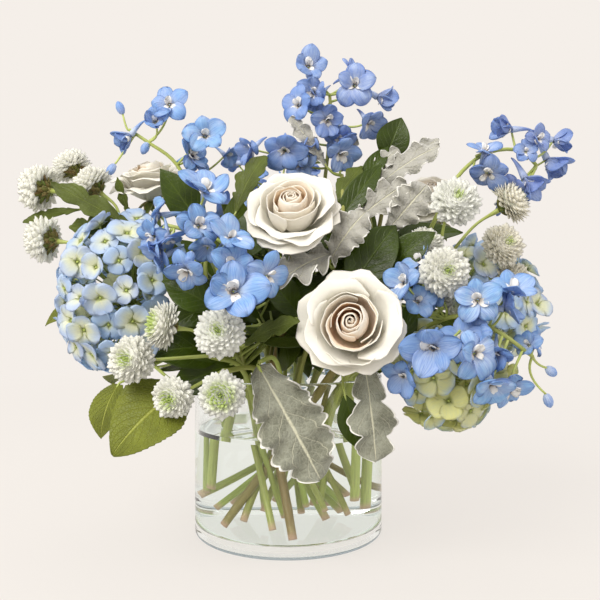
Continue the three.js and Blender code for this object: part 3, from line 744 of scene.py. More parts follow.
def delphinium_look(settings):
    """Light blue sepals, deeper at the margin, paler in the middle, violet on some sprays, with fine long
    veins."""
    look = Look("delphinium_sepals")
    along, across, under = look.marks("petal")
    heart, tint, hue = look.marks("flower")
    wide = look.sum("ABSOLUTE", across)
    edge = look.plus(look.step(wide, 0.6, 1.0), look.step(along, 0.78, 1.0))
    spot = look.times(look.step(along, 0.84, 0.93), look.step(wide, 0.35, 0.1))
    veins = look.streaks(4.0, (across, 12.0), (along, 2.0), (heart, 400.0))
    shade = look.paint(
        colour(settings.delphinium_blue),
        (hue, colour(settings.delphinium_violet)),
        (look.part(0.7, look.noise(75.0, 3.0), 0.40, 0.66), tone(206, 224, 249)),
        (look.times(tint, 0.55), tone(118, 154, 222)),
        (look.part(0.75, along, 0.6, 0.05), tone(228, 237, 251)),
        (look.times(edge, 0.30), tone(88, 134, 214)),
        (look.times(spot, 0.4), tone(90, 106, 120)),
        (look.part(0.45, veins, 0.40, 0.66), tone(100, 138, 214)),
        (look.times(under, 0.35), tone(140, 156, 214)),
    )
    return look.skin(shade, 0.45, look.bump(veins, 0.6, 0.0007), 0.3)


def bee_look():
    """The small white petals in a delphinium's middle, with dark specks and a yellowish base."""
    look = Look("delphinium_bee")
    along = look.marks("petal")[0]
    specks = look.noise(420.0, 3.0)
    shade = look.paint(
        tone(248, 247, 244),
        (look.step(along, 0.6, 0.1), tone(214, 206, 196)),
        (look.times(look.step(specks, 0.60, 0.66), look.step(along, 0.7, 0.3)), tone(96, 88, 110)),
    )
    return look.skin(shade, 0.6, look.bump(specks, 0.4, 0.0004), 0.2)


def stem_look(name, settings, dull=0.0):
    """Smooth stems, from green to brown, finely ribbed along their length, mottled, and pale at the cut
    foot."""
    look = Look(name)
    along, around, _ = look.marks("petal")
    heart, tint, hue = look.marks("flower")
    ribs = look.streaks(3.0, (around, 14.0), (along, 9.0), (heart, 1.0))
    shade = look.paint(
        colour(settings.stem_green),
        (tint, tone(190, 202, 112)),
        (hue, colour(settings.stem_brown)),
        (look.part(0.30, ribs, 0.4, 0.7), tone(92, 96, 40)),
        (look.part(0.3, look.noise(160.0, 3.0), 0.55, 0.75), tone(184, 168, 120)),
        (look.part(0.8, along, 0.03, 0.0), tone(206, 170, 146)),
    )
    return look.skin(shade, 0.42 + dull, look.bump(ribs, 0.4, 0.0005))


def side_veins(look, along, wide, ribs, slope, reach):
    """1 on the veins that leave a mid rib: a vein lies where ribs·(along − slope·|across|) is a whole
    number."""
    count = look.times(look.minus(along, look.times(wide, slope)), ribs)
    return look.step(look.sum("PINGPONG", count, 0.5), reach, 0.0)


def leaf_look(name, base_colour, vein_colour, ribs, slope, gloss, relief, bold):
    """A leaf: a mid rib, side veins that leave it in pairs, small net veins between, and a duller
    underside."""
    look = Look(name)
    along, across, under = look.marks("petal")
    tint = look.marks("flower")[1]
    wide = look.sum("ABSOLUTE", across)
    side = look.times(side_veins(look, along, wide, ribs, slope, 0.085), look.step(wide, 1.0, 0.55))
    vein = look.sum("MAXIMUM", side, look.step(wide, 0.07, 0.015))
    net_line = look.step(look.net(420.0), 0.12, 0.0)
    mottle = look.noise(55.0, 4.0)
    shade = look.paint(
        base_colour,
        (look.step(mottle, 0.3, 0.75), tuple(0.45 * c for c in base_colour)),
        (look.times(tint, 0.4), tuple(min(1.0, 1.5 * c) for c in base_colour)),
        (look.times(net_line, 0.12 * bold), vein_colour),
        (look.times(vein, bold), vein_colour),
        (look.times(under, 0.35), tone(112, 124, 56)),
    )
    height = look.plus(look.times(vein, -1.0), look.times(net_line, -0.25))
    height = look.plus(height, look.times(mottle, 0.3))
    through = (*tone(120, 136, 20), 1.0)
    return look.skin(shade, gloss, look.bump(height, relief, 0.0009), 0.2, through, specular_ior_level=0.35)


def silver_look(settings):
    """Grey felt of fine white hairs over green, quilted between paler ribs and net veins, with a white
    rim."""
    look = Look("silver_felt")
    along, across, under = look.marks("petal")
    hue = look.marks("flower")[2]
    wide = look.sum("ABSOLUTE", across)
    fuzz, net = look.noise(1500.0, 4.0, rough=0.7), look.net(260.0)
    side = look.times(side_veins(look, along, wide, 5.0, 0.3, 0.05), 0.7)
    vein = look.sum("MAXIMUM", side, look.step(wide, 0.07, 0.02))
    shade = look.paint(
        tone(76, 80, 46),
        (look.step(look.noise(60.0, 3.0), 0.3, 0.7), colour(settings.silver)),
        (hue, tone(206, 202, 198)),
        (look.part(0.30, fuzz, 0.45, 0.65), tone(196, 198, 182)),
        (look.part(0.18, net, 0.1, 0.0), tone(200, 200, 180)),
        (look.times(vein, 0.75), tone(226, 224, 196)),
        (look.step(wide, 0.91, 0.96), tone(250, 248, 240)),
        (look.times(under, 0.6), tone(218, 216, 204)),
    )
    height = look.plus(look.times(fuzz, 0.4), look.part(0.5, net, 0.0, 0.3))
    height = look.minus(height, vein)
    return look.skin(shade, 0.85, look.bump(height, 0.8, 0.0009), 0.12, sheen_weight=0.3,
                     sheen_roughness=0.5)


def calyx_look():
    """Green sepals and bracts with paler, browner edges."""
    look = Look("green_bracts")
    across = look.marks("petal")[1]
    tint = look.marks("flower")[1]
    grain = look.noise(500.0, 3.0)
    shade = look.paint(
        tone(98, 118, 42),
        (tint, tone(112, 86, 40)),
        (look.part(0.7, look.sum("ABSOLUTE", across), 0.6, 1.0), tone(176, 160, 104)),
        (look.part(0.3, grain, 0.4, 0.7), tone(60, 70, 24)),
    )
    return look.skin(shade, 0.55, look.bump(grain, 0.4, 0.0005))


# ---- Vase and water ----

def arc(middle, radius, first, last, count):
    """Points of an arc about middle, between two angles in degrees."""
    a = np.radians(np.linspace(first, last, count))
    return [(middle[0] + radius * math.cos(x), middle[1] + radius * math.sin(x)) for x in a]


def face_middles(made):
    """How far each face's middle is from the vase's axis, and how high."""
    centres = np.zeros(3 * len(made.data.polygons))
    made.data.polygons.foreach_get("center", centres)
    centres = centres.reshape(-1, 3)
    return np.hypot(centres[:, 0], centres[:, 1]), centres[:, 2]


def build_vase(settings):
    """A straight glass cylinder. Its profile goes out along the bottom, round the foot, up, over the
    rounded rim, down the inner wall, and in over the thick base, and is turned about Z. Its inner faces
    under water bend light by the ratio of glass to water, and the middle of its underside rests on the
    floor and does not bend it."""
    outer, wall, base, height = settings.radius, settings.wall, settings.base, settings.height
    foot, lip, heel = 4 * MM, wall / 2, 5 * MM
    inner = outer - wall
    profile = [(0.2 * outer, 0.0012), (0.4 * outer, 0.0010), (0.7 * outer, 0.0006), (outer - 2 * foot, 0.0)]
    profile += arc((outer - foot, foot), foot, -90, 0, 10)
    profile += [(outer, z) for z in np.linspace(foot + 2 * MM, height - lip - MM, 14)]
    profile += arc((outer - lip, height - lip), lip, 0, 180, 14)
    profile += [(inner, z) for z in np.linspace(height - lip - MM, base + heel + MM, 14)]
    profile += arc((inner - heel, base + heel), heel, 0, -90, 10)
    profile += [((inner - heel) * k, base - 0.0006 * (1 - k)) for k in (0.85, 0.6, 0.35, 0.12)]
    growth = Growth()
    growth.rings(turned(profile, 160), [0, 0, 0])
    tint = colour(settings.glass_tint)
    looks = [clear_look("clear_glass", tint, GLASS_IOR),
             clear_look("glass_against_water", tint, GLASS_IOR / WATER_IOR),
             clear_look("glass_on_floor", tint, 1.0),
             # The rounded foot's glass is tinted blue-grey: painted shade that draws a dark line along the
             # vase's bottom edge.
             clear_look("glass_foot_painted_edge_shade", tone(196, 206, 212), GLASS_IOR)]
    made = growth.piece("glass_vase", looks, ["vase"])
    reach, level = face_middles(made)
    wet = (reach < inner + 0.2 * MM) & (level > 0.5 * base) & (level < settings.water_top)
    rests = (reach < outer - 4 * foot) & (level < 0.25 * base)
    # Faces of the rounded foot, which take the blue-grey tint of painted edge shade.
    edge = (reach > outer - 0.8 * foot) & (level < 0.8 * foot)
    made.data.polygons.foreach_set("material_index", (wet + 2 * rests + 3 * edge).astype(np.int32))
    return made


def build_water(settings):
    """The water, which fills the vase to its top with a small rise where it meets the glass. Its sides and
    bottom touch the glass, whose own wet faces bend the light there, so only its surface does."""
    gap = 0.05 * MM
    inner = settings.radius - settings.wall - gap
    floor, top, heel, climb = settings.base + gap, settings.water_top, 5 * MM, 1.3 * MM
    side = [(inner * k, floor) for k in (0.1, 0.4, 0.7)]
    side += arc((inner - heel, floor + heel), heel, -90, 0, 10)
    side += [(inner, z) for z in np.linspace(floor + heel + MM, top + climb - 0.2 * MM, 8)]
    rise = np.linspace(0.3, 9, 12) * MM
    surface = [(inner - d, top + climb * math.exp(-d / (1.6 * MM))) for d in rise]
    surface += [(inner * k, top) for k in (0.8, 0.5, 0.2)]
    growth = Growth()
    growth.rings(turned(side + surface, 160), [0, 0, 0])
    tint = colour(settings.water_tint)
    looks = [clear_look("water_surface", tint, WATER_IOR), clear_look("water_against_glass", tint, 1.0)]
    made = growth.piece("vase_water", looks, ["water"])
    reach, level = face_middles(made)
    touching = (level < top - 0.2 * MM) | (reach > inner - 0.2 * MM)
    made.data.polygons.foreach_set("material_index", touching.astype(np.int32))
    return made


# ---- Roses ----

# How a rose petal's form changes from the heart (0) to the outside (1), in rose radii: four (radius,
# height) points of its side view, half the angle it wraps, how far its lip rolls out, and how much its
# corners are cut.
ROSE_FORM = {
    "at": [0.0, 0.12, 0.24, 0.37, 0.44, 0.54, 0.70, 0.86, 1.0],
    "r0": [0.02, 0.03, 0.04, 0.05, 0.06, 0.07, 0.09, 0.10, 0.10],
    "z0": [-0.30, -0.34, -0.38, -0.42, -0.45, -0.48, -0.54, -0.58, -0.60],
    "r1": [0.08, 0.18, 0.28, 0.40, 0.46, 0.54, 0.58, 0.58, 0.50],
    "z1": [-0.10, -0.12, -0.14, -0.18, -0.24, -0.30, -0.32, -0.42, -0.52],
    "r2": [0.12, 0.22, 0.33, 0.44, 0.51, 0.58, 0.66, 0.72, 0.74],
    "z2": [0.24, 0.25, 0.25, 0.24, 0.22, 0.16, 0.18, 0.06, -0.08],
    "r3": [0.02, 0.08, 0.17, 0.29, 0.39, 0.52, 0.78, 0.94, 1.00],
    "z3": [0.49, 0.50, 0.49, 0.46, 0.44, 0.42, 0.34, 0.20, 0.00],
    "wrap": [150, 128, 108, 92, 84, 76, 66, 62, 58],
    "lip": [0.015, 0.02, 0.03, 0.045, 0.06, 0.08, 0.10, 0.12, 0.11],
    "cut": [0.04, 0.06, 0.08, 0.12, 0.14, 0.18, 0.18, 0.18, 0.20],
}
ROSE_RINGS = ((0.0, 0.37, 0.40), (0.44, 0.58, 0.20), (0.70, 0.84, 0.20),
              (0.92, 1.0, 0.20))  # first, last, share


def rose_bloom(growth, middle, axis, radius, petals, hue, seed):
    """A rose: petals at the golden angle from a rolled heart outwards. Petal k is at q = k/(count−1); its
    side view is the cubic curve of ROSE_FORM at q, turned through the angle φ − wrap·t. One edge lies
    further in than the other, so that the petals wind into each other."""
    rng = np.random.default_rng(seed)
    q = np.concatenate([np.linspace(first, last, round(share * petals)) for first, last,
                        share in ROSE_RINGS])
    petals = len(q)
    form = {key: np.interp(q, ROSE_FORM["at"], values)[:, None, None] for key, values in ROSE_FORM.items()}
    jitter = rng.normal(0, 1, (5, petals, 1, 1))
    s, t = steps(17, 1.35)[None, :, None], sides_of(21)[None, None, :]
    q3 = q[:, None, None]
    spin = rng.uniform(0, 6.28)
    phi = spin + GOLDEN * np.arange(petals)[:, None, None] + 0.1 * jitter[0] * q3
    u = s * (1 - form["cut"] * np.abs(t) ** 2.8) * (1 + 0.03 * q3 * np.exp(-(t / 0.16) ** 2))
    v = 1 - u
    weights = (v ** 3, 3 * v * v * u, 3 * v * u * u, u ** 3)
    r = sum(w * form[f"r{k}"] for k, w in enumerate(weights))
    z = sum(w * form[f"z{k}"] for k, w in enumerate(weights))
    lip = smooth(u, 0.74, 1.02) ** 1.5
    roll = form["lip"] * (1 + 0.5 * jitter[1])
    r = r + roll * lip + 0.034 * jitter[2] * q3 * u
    z = z - 0.65 * roll * lip * (0.3 + q3) + (0.012 + 0.055 * q3) * jitter[3] * u * u
    wave = (0.008 + 0.066 * q3 ** 2) * u ** 4
    z = z + wave * np.sin(2.6 * np.pi * t + 2.0 * jitter[4])
    r = r * (1 - (0.17 - 0.11 * q3) * t) + 0.6 * wave * np.cos(3.4 * np.pi * t + jitter[0])
    theta = phi - np.radians(form["wrap"]) * t * (0.55 + 0.45 * smooth(u, 0.0, 0.7))
    r = r * (1 + 0.06 * (1 - q3) * np.sin(2 * theta + spin) + 0.02 * np.sin(4.5 * t + 3 * jitter[1]) * u)
    z = z + (0.025 + 0.03 * q3) * jitter[2] * t * u * u
    mids = radius * np.stack([r * np.cos(theta), r * np.sin(theta), z + 0 * theta], -1)
    frames = axes([axis])
    mids = placed(mids, middle, frames)
    flower = np.stack([q, rng.uniform(0, 1, petals), np.full(petals, hue)], -1)
    growth.shells(mids, s, t, flower, 0.5 * MM)


ROSE_PALENESS = (0.0, 0.55, 0.6, 0.5, 0.3, 0.4)  # how far each rose's heart goes from peach to cream


def rose_calyx(stalk, middle, axis, radius, turn, rng):
    """The rounded hip under a rose, and the five narrow sepals that leave it."""
    hip = np.array([[0.10, -0.92], [0.13, -0.88], [0.20, -0.80], [0.25, -0.70], [0.22, -0.60],
                    [0.16, -0.56],
                    [0.08, -0.55]])
    frames = axes([axis])
    stalk.rings(placed(turned(hip * radius, 16), middle, frames), [0, 0.1, 0.1], 1)
    s = steps(9)
    count = 5
    length = rng.uniform(0.55, 0.75, count) * radius
    slopes = np.radians(rng.uniform(-30, 0, count)), np.radians(rng.uniform(-70, 10, count))
    mids = arc_petals(np.arange(count) * 2 * np.pi / count + turn, (0.14 * radius, -0.62 * radius), length,
                      0.16 * radius, slopes, 0.4, s, outline(s, 0.7, 0.3, 1.3))
    stalk.shells(placed(mids, middle, frames), s[None, :, None], sides_of(5), [0, 0.15, 0], 0.7 * MM, 1)


def rose_thorns(stalk, line, rng):
    """Four hooked thorns at random places on a rose's stem."""
    spots = rng.integers(14, 34, 4)
    tangent = unit(np.gradient(line, axis=0))[spots]
    out = unit(np.cross(tangent, unit(rng.normal(0, 1, (4, 3)))))
    roots, tips = line[spots], line[spots] + out * 7.5 * MM - tangent * 1.8 * MM
    thorns = bends(roots, (roots + tips) / 2 + tangent * MM, tips, 6)
    stalk.tubes(thorns, np.array([2.0, 1.9, 1.4, 0.9, 0.45, 0.1]) * MM, 7, [0.5, 0.2, 0.8])


def build_roses(settings, leaves):
    """Six roses, each a bloom, and a stem with its hip, sepals and thorns. The stem swells at its nodes."""
    petals_look, stem, bracts = rose_look(settings), stem_look("rose_stem_skin", leaves), calyx_look()
    for i, (mouth, foot, brown) in enumerate(ROSE_STEMS):
        middle, axis, radius = seat(f"rose_{i + 1}", 0.52, 0.92)
        bloom = Growth()
        rose_bloom(bloom, middle, axis, radius, settings.rose_petals, ROSE_PALENESS[i], 20 + i)
        bloom.piece(f"rose_bloom_{i + 1}", [petals_look], [f"rose_{i + 1}"])
        stalk = Growth()
        rng = np.random.default_rng(60 + i)
        mouth, foot = np.array(mouth) * MM, np.array(foot) * MM
        neck = middle - 0.72 * radius * axis
        lead = neck - 0.35 * np.linalg.norm(neck - mouth) * axis
        line = smooth_line([foot, (foot + mouth) / 2, mouth, lead, neck], 44)
        swell = 1 + 0.14 * np.exp(-((np.linspace(0, 6, 44) % 1.0 - 0.5) / 0.07) ** 2)
        stalk.tubes([line], 3.1 * MM * swell, 12, [0.1 * i, 0.3, brown])
        rose_calyx(stalk, middle, axis, radius, i, rng)
        rose_thorns(stalk, line, rng)
        stalk.piece(f"rose_stalk_{i + 1}", [stem, bracts], [f"rose_stem_{i + 1}"])


# ---- Chrysanthemums ----

def mum_bloom(growth, middle, axis, radius, petals, hues, seed):
    """A button head: petals at the golden angle, from the front (polar angle 0) to behind the rim. Each is
    an arc from the small receptacle to the head's surface, curling in towards the axis, and widest near its
    round tip. A dome of the same skin lies between them, and a cup of bracts under them."""
    rng = np.random.default_rng(seed)
    k = (np.arange(petals) + 0.5) / petals
    polar = np.radians(110) * k ** 0.6
    grown = np.sqrt(k)
    rise = np.pi / 2 - polar
    reach = radius * (0.58 + 0.40 * np.sin(polar) ** 1.1) * (1 + 0.05 * rng.normal(0, 1, petals))
    start = (0.13 * radius * np.sin(polar), radius * (-0.10 + 0.10 * np.cos(polar)))
    length = reach - 0.08 * radius
    angles = (rise - np.radians(8 + 14 * grown), rise + np.radians(30 - 14 * grown))
    width = radius * (0.056 + 0.095 * smooth(k, 0.0, 0.35)) * (1 + 0.08 * rng.normal(0, 1, petals))
    s = steps(6, 1.25)
    mids = arc_petals(GOLDEN * np.arange(petals) + 0.08 * rng.normal(0, 1, petals), start, length, width,
                      angles,
                      0.28, s, outline(s, 0.5, 0.70, 0.45), 3)
    frames = axes([axis])
    mids = placed(mids, middle, frames)
    flower = np.stack([polar / polar[-1], np.full(petals, hues[0]), np.full(petals, hues[1])], -1)
    growth.shells(mids, s[None, :, None], sides_of(3), flower, 0.5 * MM)
    bend = np.radians(np.linspace(4, 112, 12))
    core = radius * (0.26 + 0.38 * np.sin(bend) ** 1.1)[:, None] * np.stack([np.sin(bend), np.cos(bend)], -1)
    growth.rings(placed(turned(core[::-1], 24), middle, frames), [0.6, *hues])
    cup = np.array([[0.10, -0.72], [0.18, -0.66], [0.34, -0.50], [0.44, -0.32], [0.40, -0.12],
                    [0.20, 0.0]]) * radius
    growth.rings(placed(turned(cup, 14), middle, frames), [0, 0.3, 0], 1)
    count = 30
    row = np.arange(count) % 3
    s = steps(5)
    bracts = arc_petals(GOLDEN * np.arange(count), ((0.16 + 0.09 * row) * radius,
                                                    (-0.68 + 0.10 * row) * radius),
                        0.34 * radius, 0.09 * radius, (np.radians(20), np.radians(45 - 10 * row)), 0.5, s,
                        outline(s, 0.8, 0.4, 0.8), 3)
    bracts = placed(bracts, middle, frames)
    tint = np.stack([np.zeros(count), rng.uniform(0, 1, count), np.zeros(count)], -1)
    growth.shells(bracts, s[None, :, None], sides_of(3), tint, 0.5 * MM, 1)


def build_mums(settings, leaves):
    """Button chrysanthemums: eighteen heads on six branched stems."""
    petals_look, stem, bracts = mum_look(settings), stem_look("chrysanthemum_stem_skin",
                                                              leaves), calyx_look()
    number = 0
    for i, (foot, mouth, fork, heads) in enumerate(MUM_SPRAYS):
        foot, mouth, fork = (np.array(p) * MM for p in (foot, mouth, fork))
        stalk = Growth()
        line = smooth_line([foot, (foot + mouth) / 2, mouth, fork], 36)
        stalk.tubes([line], np.linspace(2.3, 1.9, 36)[None] * MM, 10, [0.2 * i, 0.5, 0.15 * (i % 3)])
        for _ in range(heads):
            number += 1
            middle, axis, radius = seat(f"chrysanthemum_{number}", 0.58, 0.72)
            bloom = Growth()
            mum_bloom(bloom, middle, axis, radius, settings.mum_petals, MUM_HUES[number - 1], 100 + number)
            bloom.piece(f"button_chrysanthemum_{number}", [petals_look, bracts],
                        [f"chrysanthemum_{number}"])
            neck = middle - 0.68 * radius * axis
            lead = neck - 0.3 * np.linalg.norm(neck - fork) * axis
            branch = smooth_line([fork, lead, neck], 16)
            widths = np.concatenate([np.linspace(1.35, 1.1, 13), [1.3, 1.7, 2.1]])
            stalk.tubes([branch], widths[None] * MM, 8, [0.1 * number, 0.7, 0.1])
        stalk.piece(f"chrysanthemum_stalk_{i + 1}", [stem], [f"chrysanthemum_stem_{i + 1}"])


# ---- Hydrangeas ----

def bloom_rooms():
    """Middle and radius of every rose and chrysanthemum, as rows."""
    blooms = [seat(f"rose_{n}", 0.52, 0.92) for n in range(1, 7)]
    blooms += [seat(f"chrysanthemum_{n}", 0.58, 0.72) for n in range(1, 19)]
    return np.array([[*middle, radius] for middle, _, radius in blooms])


def build_hydrangeas(settings, leaves):
    """Hydrangea heads: florets of four round sepals on a rounded mass, in an outer and an inner layer."""
    sepals_look, stem = hydrangea_look(settings), stem_look("hydrangea_stem_skin", leaves, 0.1)
    rooms = bloom_rooms()
    for i, (at, radii, mouth, foot, greenness) in enumerate(HYDRANGEAS):
        rng = np.random.default_rng(200 + i)
        at, radii, mouth, foot = (np.array(p, float) * MM for p in (at, radii, mouth, foot))
        way = unit(at - mouth)
        growth = Growth()
        size = settings.floret_radius
        full = 4 * np.pi * np.mean(radii) ** 2 * 0.74 / (np.pi * size ** 2)
        places, ways, depth = [], [], []
        for layer, (share, scale) in enumerate(((1.55, 0.91), (1.0, 0.70))):
            count = int(full * share * scale ** 2)
            k = (np.arange(count) + 0.5) / count
            polar = np.arccos(1 - k * (1 - math.cos(math.radians(122))))
            turn = GOLDEN * np.arange(count) + layer
            local = np.stack([np.sin(polar) * np.cos(turn), np.sin(polar) * np.sin(turn), np.cos(polar)],
                             -1)
            out = local @ axes([way])[0]
            spot = at + out * radii * (scale + 0.05 * rng.normal(0, 1, (count, 1)).clip(-1.2, 1.2))
            places.append(spot)
            ways.append(unit(unit(out / radii) + 0.30 * rng.normal(0, 1, (count, 3))))
            depth.append(np.full(count, float(layer)))
        places, ways, depth = np.vstack(places), np.vstack(ways), np.concatenate(depth)
        away = np.linalg.norm(places[:, None] - rooms[None, :, :3], axis=-1) - rooms[None, :, 3]
        keep = (away > 1.0 * MM).all(1)
        places, ways, depth = places[keep], ways[keep], depth[keep]
        count = len(places)
        scale = size * rng.uniform(0.82, 1.12, count) * (1 - 0.12 * depth)
        frames = axes(ways, rng.uniform(0, 6.28, count))
        each = np.repeat(np.arange(count), 4)
        azimuth = np.tile(np.arange(4) * np.pi / 2, count) + 0.12 * rng.normal(0, 1, 4 * count)
        s = steps(6, 1.3)
        length = scale[each] * rng.uniform(0.9, 1.1, 4 * count)
        a0 = np.radians(rng.uniform(14, 34, count))[each] + 0.1 * rng.normal(0, 1, 4 * count)
        a1 = a0 - np.radians(rng.uniform(10, 50, count))[each]
        mids = arc_petals(azimuth, (0.03 * size, 0.0), length, 0.62 * length, (a0, a1),
                          rng.uniform(0.0, 0.4, 4 * count), s, outline(s, 0.32, 0.58, 0.48), 5, 0.12)
        mids = placed(mids, places[each], frames[each])
        tint = np.stack([rng.uniform(0, 1, count), rng.uniform(0, 1, count),
                         np.clip(greenness + 0.35 * depth + rng.normal(0, 0.12, count), 0, 1)], -1)[each]
        growth.shells(mids, s[None, :, None], sides_of(5), tint, 0.42 * MM)
        bead = np.array([[0.5, -0.7], [1.0, -0.1], [0.9, 0.6], [0.4, 1.0]]) * 1.1 * MM
        growth.rings(placed(turned(bead, 6), places, frames), [0, 0.6, 0], 1)
        root = at - way * 0.25 * radii.min()
        ends = root + (places - root) * 0.25
        bow = (places + ends) / 2 + 3 * MM * unit(rng.normal(0, 1, (count, 3)))
        growth.tubes(bends(ends, bow, places - ways * 0.4 * MM, 4), 0.55 * MM, 4, [0.3, 0.8, 0.1], 1)
        arms = 7
        a = np.arange(arms) * 2 * np.pi / arms
        spread = np.stack([np.cos(a), np.sin(a), np.full(arms, 0.9)], -1) @ axes([way])[0]
        ends = root + spread * radii * 0.42
        growth.tubes(bends(np.repeat([root], arms, 0), root + 0.6 * spread * radii * 0.42 + way * 4 * MM,
                           ends, 6),
                     1.3 * MM, 6, [0.3, 0.6, 0.1], 1)
        neck = at - way * 0.3 * radii[2]
        lead = neck - 0.35 * np.linalg.norm(neck - mouth) * way
        line = smooth_line([foot, (foot + mouth) / 2, mouth, lead, neck, root], 36)
        growth.tubes([line], np.linspace(3.9, 3.3, 36)[None] * MM, 12, [0.4, 0.9, 0.05], 1)
        growth.piece(f"hydrangea_head_{i + 1}", [sepals_look, stem], [f"hydrangea_{i + 1}"])


# ---- Delphiniums ----

def delphinium_florets(growth, places, ways, radii, open_angles, hue, rng):
    """Florets of five sepals about a white bee, with a long tapered spur behind. The sepals' slope above the
    floret's plane goes from open_angles to nearly flat."""
    count = len(places)
    frames = axes(ways, rng.uniform(-0.2, 0.2, count))
    each = np.repeat(np.arange(count), 5)
    azimuth = np.tile(np.pi / 2 + np.arange(5) * 2 * np.pi / 5, count) + 0.12 * rng.normal(0, 1, 5 * count)
    s = steps(10, 1.3)
    length = 1.02 * radii[each] * rng.uniform(0.86, 1.12, 5 * count)
    a0 = np.radians(open_angles[0])[each] + 0.16 * rng.normal(0, 1, 5 * count)
    a1 = np.radians(open_angles[1])[each] + 0.42 * rng.normal(0, 1, 5 * count)
    mids = arc_petals(azimuth, (0.05 * radii[each], -0.05 * radii[each]), length, 0.42 * length, (a0, a1),
                      rng.uniform(-0.1, 0.6, 5 * count), s, outline(s, 0.26, 0.54, 0.72), 7, 0.34)
    mids = placed(mids, places[each], frames[each])
    flower = np.stack([rng.uniform(0, 1, count), rng.uniform(0, 1, count),
                       np.clip(hue + rng.normal(0, 0.1, count), 0, 1)], -1)
    growth.shells(mids, s[None, :, None], sides_of(7), flower[each], 0.45 * MM)
    each = np.repeat(np.arange(count), 4)
    s = steps(6)
    azimuth = np.tile(np.pi / 2 + np.array([0.4, -0.4, 2.3, -2.3]), count) + 0.2 * rng.normal(0, 1, 4 * count)
    size = 0.42 * radii[each] * rng.uniform(0.75, 1.25, 4 * count)
    lean = np.tile([70, 70, 40, 40], count) + 12 * rng.normal(0, 1, 4 * count)
    fall = np.tile([40, 40, 5, 5], count) + 15 * rng.normal(0, 1, 4 * count)
    mids = arc_petals(azimuth, (0.05 * radii[each], 0.02 * radii[each]), size, 0.36 * size,
                      (np.radians(lean), np.radians(fall)), 0.3, s, outline(s, 0.4, 0.6, 0.45), 5, 0.35)
    growth.shells(placed(mids, places[each], frames[each]), s[None, :, None], sides_of(5), flower[each],
                  0.4 * MM, 2)
    back = places - ways * (0.03 * radii)[:, None]
    up = frames[:, 1]
    ends = back - ways * (1.05 * radii)[:, None] + up * (0.30 * radii)[:, None]
    middle = back - ways * (0.75 * radii)[:, None] + up * (0.32 * radii)[:, None]
    spurs = bends(back, middle, ends, 8)
    widths = np.array([0.16, 0.15, 0.12, 0.10, 0.08, 0.065, 0.05, 0.03])
    growth.tubes(spurs, radii[:, None] * widths, 7, flower + [0, 0, 0.1])
    return back


BARE = 20  # the stem's points below this number carry no florets


def build_delphiniums(settings, leaves):
    """Delphinium sprays: a thin stem, and florets, bells and buds on curved stalks."""
    looks = [delphinium_look(settings), stem_look("delphinium_stem_skin", leaves), bee_look()]
    for i, spray in enumerate(DELPHINIUMS):
        rng = np.random.default_rng(300 + i)
        growth = Growth()
        line = smooth_line(np.array(spray["stem"]) * MM, 60)
        growth.tubes([line], np.linspace(2.7, 1.3, 60)[None] * MM, 10, [0.5, 0.6, 0.15 + 0.1 * (i % 3)], 1)
        ends = []
        for kind, slopes in (("open", ((34, 60), (-35, 25))), ("bell", ((60, 72), (55, 80)))):
            rows = np.array(spray[kind], float).reshape(-1, 6)
            if not len(rows):
                continue
            size = rows[:, 5] * MM * (1.0 if kind == "open" else 1.5)
            ways = facing(rows[:, 3], rows[:, 4])
            places = rows[:, :3] * MM - ways * (size * (0.0 if kind == "open" else 0.35))[:, None]
            size = size * 1.12
            if kind == "open":
                near = nearest(line, places, BARE)
                extra = places + 0.5 * (near - places) + 0.006 * rng.normal(0, 1, places.shape)
                lean = unit(extra - near) + facing(0, 0) * 0.5 + 0.55 * rng.normal(0, 1, extra.shape)
                ways = np.vstack([ways, unit(lean)])
                places, size = np.vstack([places, extra]), np.concatenate([size, 0.86 * size])
            angles = tuple(rng.uniform(*pair, len(places)) for pair in slopes)
            back = delphinium_florets(growth, places, ways, size, angles, spray["violet"], rng)
            ends.append(back)
        buds = np.array(spray["bud"], float).reshape(-1, 3) * MM
        if len(buds):
            near = nearest(line, buds)
            shape = np.array([[0.6, -5.4], [2.2, -4.2], [3.3, -1.4], [3.4, 1.2], [2.4, 4.0],
                              [0.9, 5.6]]) * MM
            frames = axes(buds - near, rng.uniform(0, 6, len(buds)))
            growth.rings(placed(turned(shape, 12), buds, frames), [0.3, 0.5, 0.3])
            ends.append(buds - 5 * MM * unit(buds - near))
        ends = np.vstack(ends)
        near = nearest(line, ends, BARE)
        bow = (ends + near) / 2 - [0, 0, 0.004] + 0.004 * rng.normal(0, 1, ends.shape)
        growth.tubes(bends(near, bow, ends, 10), np.linspace(1.0, 0.75, 10)[None] * MM, 7, [0.2, 0.9, 0.05],
                     1)
        growth.piece(f"delphinium_spray_{i + 1}", looks, [f"delphinium_{i + 1}"])


# ---- Leaves ----

# Leaf kinds: look, rows along, base, peak and bluntness of the outline, teeth, tooth depth, lobes, lobe
# depth, sweep of the lobes, fold, rippling.
LEAF_KINDS = {
    "glossy": ("glossy_leaf", 26, 0.12, 0.45, 1.0, 0, 0.0, 0, 0.0, 0.0, 0.22, 0.02),
    "ribbed": ("ribbed_leaf", 64, 0.25, 0.42, 0.9, 17, 0.05, 0, 0.0, 0.0, 0.12, 0.03),
    "lobed": ("lobed_leaf", 48, 0.15, 0.55, 0.6, 0, 0.0, 3.0, 0.55, 0.10, 0.15, 0.05),
    "silver": ("silver_felt", 56, 0.25, 0.60, 0.55, 0, 0.0, 3.6, 0.46, 0.10, 0.14, 0.20),
    "silver_broad": ("silver_felt", 72, 0.30, 0.55, 0.55, 0, 0.0, 4.6, 0.34, 0.08, 0.10, 0.13),
    "silver_waisted": ("silver_felt", 60, 0.40, 0.60, 0.60, 0, 0.0, 2.6, 0.55, 0.10, 0.08, 0.12),
}


# Where the dark leaves of each glossy branch gather, in millimetres.
FILLER_MIDDLES = {
    "glossy_leaves_left": (-38, -26, 190), "glossy_leaves_right": (50, -20, 198),
    "glossy_leaves_back": (5, 20, 200),
}


